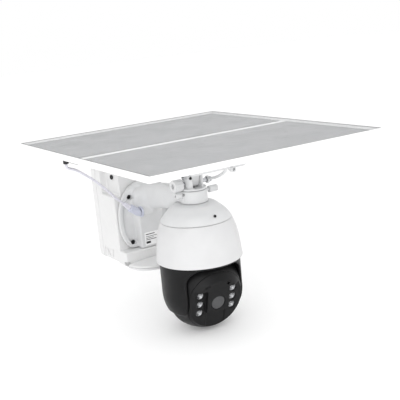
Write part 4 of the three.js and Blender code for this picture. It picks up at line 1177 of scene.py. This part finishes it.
def bracket_distance(p):
    """A plate with a lip at each end, a tongue down to the tilt bolt and a stay to the front lip."""
    x, y, z = p.T
    low, high = BRACKET_LOW, BRACKET_HIGH
    body = prism(rounded_rect(x, y, (-PLATE_X, -PLATE_Y), (PLATE_X, PLATE_Y), 8), z, low, high, 0.5)
    for hem, start, end in ((114.4, -PLATE_Y, -57), (129, 57, PLATE_Y)):
        lip = prism(rounded_rect(x, z, (-PLATE_X, hem), (PLATE_X, low + 8), 5), y, start, end, 0.6)
        body = joined(body, maximum(lip, z - low - 1), 1.0)
    rise = z - PIVOT_Z
    web = maximum((np.abs(y) - 4.8 - maximum(rise, 0) * 0.36) * 0.94, z - low - 1)
    web = np.where(rise > 0, web, hypot(y, rise) - 4.8)
    body = joined(body, common(web, np.abs(x) - 6, 0.6), 2.0)
    body = joined(body, rod(p, "x", 4.6, 19.6, 22.8, (0, PIVOT_Z), 0.5))
    body = joined(body, capsule_chain(p, catmull(STAY_ROUTE, 4), 1.7), 0.8)
    boss = rod(p, "y", 3.4, -64, -57, (STAY_SCREW_X, STAY_SCREW_Z), 0.6)
    body = joined(body, joined(boss, block(p, (15, -59.6, 112), (20, -57.4, 120))), 0.6)
    body = cut(body, rod(p, "x", 2.8, -12, 30, (0, PIVOT_Z)), 0.3)
    return cut(body, prism(hexagon(x - STAY_SCREW_X, z - STAY_SCREW_Z, 3.4), y, -70, -61), 0.15)


def panel_bracket():
    axes = (
        (-PLATE_X, PLATE_X, 1.1, (-7, 24, 0.8)),
        (-64, PLATE_Y, 1.1, (-64, -55, 0.7), (55, 60, 0.8)),
        (88, BRACKET_HIGH, 1.1, (140, 145, 0.8)),
    )
    cast("bracket_casting", bracket_distance, axes, "arm_white", "panel_bracket", body="solar_panel")


# -------- solar panel
def framed(name, rings):
    """A closed picture frame: each ring is (half width, half length, corner radius, height)."""
    points = []
    arc = 7
    for half_x, half_y, radius, height in rings:
        for quarter, (sx, sy) in enumerate(((1, 1), (-1, 1), (-1, -1), (1, -1))):
            for i in range(arc):
                angle = (quarter + i / (arc - 1)) * math.pi / 2
                points.append((sx * (half_x - radius) + radius * math.cos(angle),
                               sy * (half_y - radius) + radius * math.sin(angle), height))
    numbers = np.arange(len(points)).reshape(len(rings), -1).tolist()
    return piece(name, points, quads_between(numbers))


def panel_frame():
    """The rail round the panel, and a near-black strip round its glass that paints the frame lip's shadow."""
    half_x, half_y, high = PANEL_HIGH
    low = PANEL_LOW[2]
    glass_x, glass_y = half_x - 3.6, half_y - 3.4

    def outer(inset, height):
        return half_x - inset, half_y - inset, 4.2 - inset, height

    def inner(inset, height):
        return glass_x + inset, glass_y + inset, max(0.3 + inset, 0.05), height

    rings = [
        outer(0.5, low), outer(0.15, low + 0.15), outer(0, low + 0.5), outer(0, high - 0.9),
        outer(0.15, high - 0.4), outer(0.5, high - 0.1), outer(0.9, high),
        inner(0.5, high), inner(0.2, high - 0.1), inner(0.02, high - 0.4), inner(0, low + 1.2),
        (134.0, 155.0, 1.0, low + 1.2), (134.0, 155.0, 1.0, low + 0.2), (134.3, 155.3, 1.3, low),
    ]
    finished(framed("panel_frame_rail", rings), "frame_white", "solar_panel", "panel_frame")
    top = high - 0.12
    # Painted shadow: a thin near-black strip over the glass's rim where the frame lip's shade falls, not a
    # real seal.
    shadow_line = [inner(-0.05, top - 0.14), inner(-0.05, top), inner(-0.85, top), inner(-0.85, top - 0.14)]
    finished(framed("painted_shadow_line", shadow_line), "seal_rubber", "solar_panel")


def junction_box_distance(p):
    top = BRACKET_HIGH
    body = block(p, (-130, 34, top - 11), (-104, 70, top), 1.4)
    body = joined(body, block(p, (-133.6, 45, top - 6.2), (-129, 59, top - 1.6), 0.6), 0.6)
    body = joined(body, rod(p, "z", 3.2, 134.1, top - 1.6, (-136, 52), 0.5), 0.4)
    return joined(body, block(p, (-138, 49.5, top - 5.2), (-129, 54.5, top - 1.6), 0.4), 0.5)


def junction_box():
    axes = (-139.5, -104, 0.8), (34, 70, 0.8), (BRACKET_HIGH - 11, BRACKET_HIGH, 0.7)
    cast("junction_box_shell", junction_box_distance, axes, "inner_black", "junction_box", body="solar_panel")


# -------- CAD nodes that keep their shape
SLOT_NODES = {
    "steel": ["wall_plate", "pan_bearing"],
    "motor_steel": ["pan_motor", "tilt_motor"],
    "bronze": ["bush_left", "bush_right"],
    "gear_plastic": ["pan_gear", "pan_pinion", "tilt_gear", "tilt_pinion"],
    "circuit_board": ["main_board", "motion_sensor", "sensor_board"],
    "inner_black": ["pan_base", "slip_ring", "speaker", "antenna_strip"],
    "inner_white": ["battery_tray"],
    "battery_wrap": ["battery_pack"],
    "seal_rubber": ["case_gasket", "arm_gasket"],
    "button_grey": ["power_button", "reset_button"],
    "lens_black": ["light_sensor"],
    "back_sheet": ["back_sheet"],
    "solar_cell": ["cells_front", "cells_rear"],
    "panel_glass": ["panel_glass"],
}


WELD_MM, BEVEL_MM = 0.005, 0.25


def dressed_nodes():
    """The hidden and flat nodes keep their CAD shape, with their edges broken."""
    for slot, names in SLOT_NODES.items():
        for name in names:
            kept = frame["nodes"][name]
            kept.data.materials.clear()
            kept.data.materials.append(MATERIALS[slot])
            weld = kept.modifiers.new("weld", "WELD")
            weld.merge_threshold = WELD_MM * MM
            bevel = kept.modifiers.new("bevel", "BEVEL")
            bevel.width = BEVEL_MM * MM
            bevel.segments = 2
            bevel.limit_method = "ANGLE"
            bevel.angle_limit = math.radians(40)
            bevel.harden_normals = True


# -------- studio
def key_light(centre):
    """One large soft light, ahead of the object and to its left."""
    light = bpy.data.lights.new("key", "AREA")
    light.shape = "RECTANGLE"
    light.size = light.size_y = 2.0
    light.energy = 20
    made = bpy.data.objects.new("key", light)
    made.location = centre + Vector((-1.2, -1.7, 1.0))
    made.rotation_euler = (centre - made.location).to_track_quat("-Z", "Y").to_euler()
    bpy.context.scene.collection.objects.link(made)


def studio():
    world = bpy.data.worlds.new("studio")
    world.use_nodes = True
    world.node_tree.nodes["Background"].inputs["Color"].default_value = (1, 1, 1, 1)
    world.node_tree.nodes["Background"].inputs["Strength"].default_value = 1.0
    bpy.context.scene.world = world
    bpy.context.scene.view_settings.view_transform = "Standard"
    key_light((CAD_BOX[0] + CAD_BOX[1]) / 2)
    size = 6.0
    height = CAD_BOX[0].z - 0.002
    corners = [(-size, -size, height), (size, -size, height), (size, size, height), (-size, size, height)]
    mesh = bpy.data.meshes.new("floor")
    mesh.from_pydata(corners, [], [(0, 1, 2, 3)])
    floor = bpy.data.objects.new("floor", mesh)
    bpy.context.scene.collection.objects.link(floor)
    principled = shader("floor", (0.93, 0.93, 0.93), 0.9)[1]
    principled.inputs["Emission Color"].default_value = (1, 1, 1, 1)
    principled.inputs["Emission Strength"].default_value = 0.1
    floor.data.materials.append(MATERIALS["floor"])


BUILDERS = (
    solar_lead, lead_plug, lead_socket, front_case, rear_case, motion_sensor_cover, arm, arm_label, screws,
    clamp_bolt, dome, yoke, ball, swivel_fork, fork_fittings, tilt_knob, panel_bracket, panel_frame,
    junction_box, dressed_nodes, studio,
)
for build in BUILDERS:
    build()
bpy.context.view_layer.update()
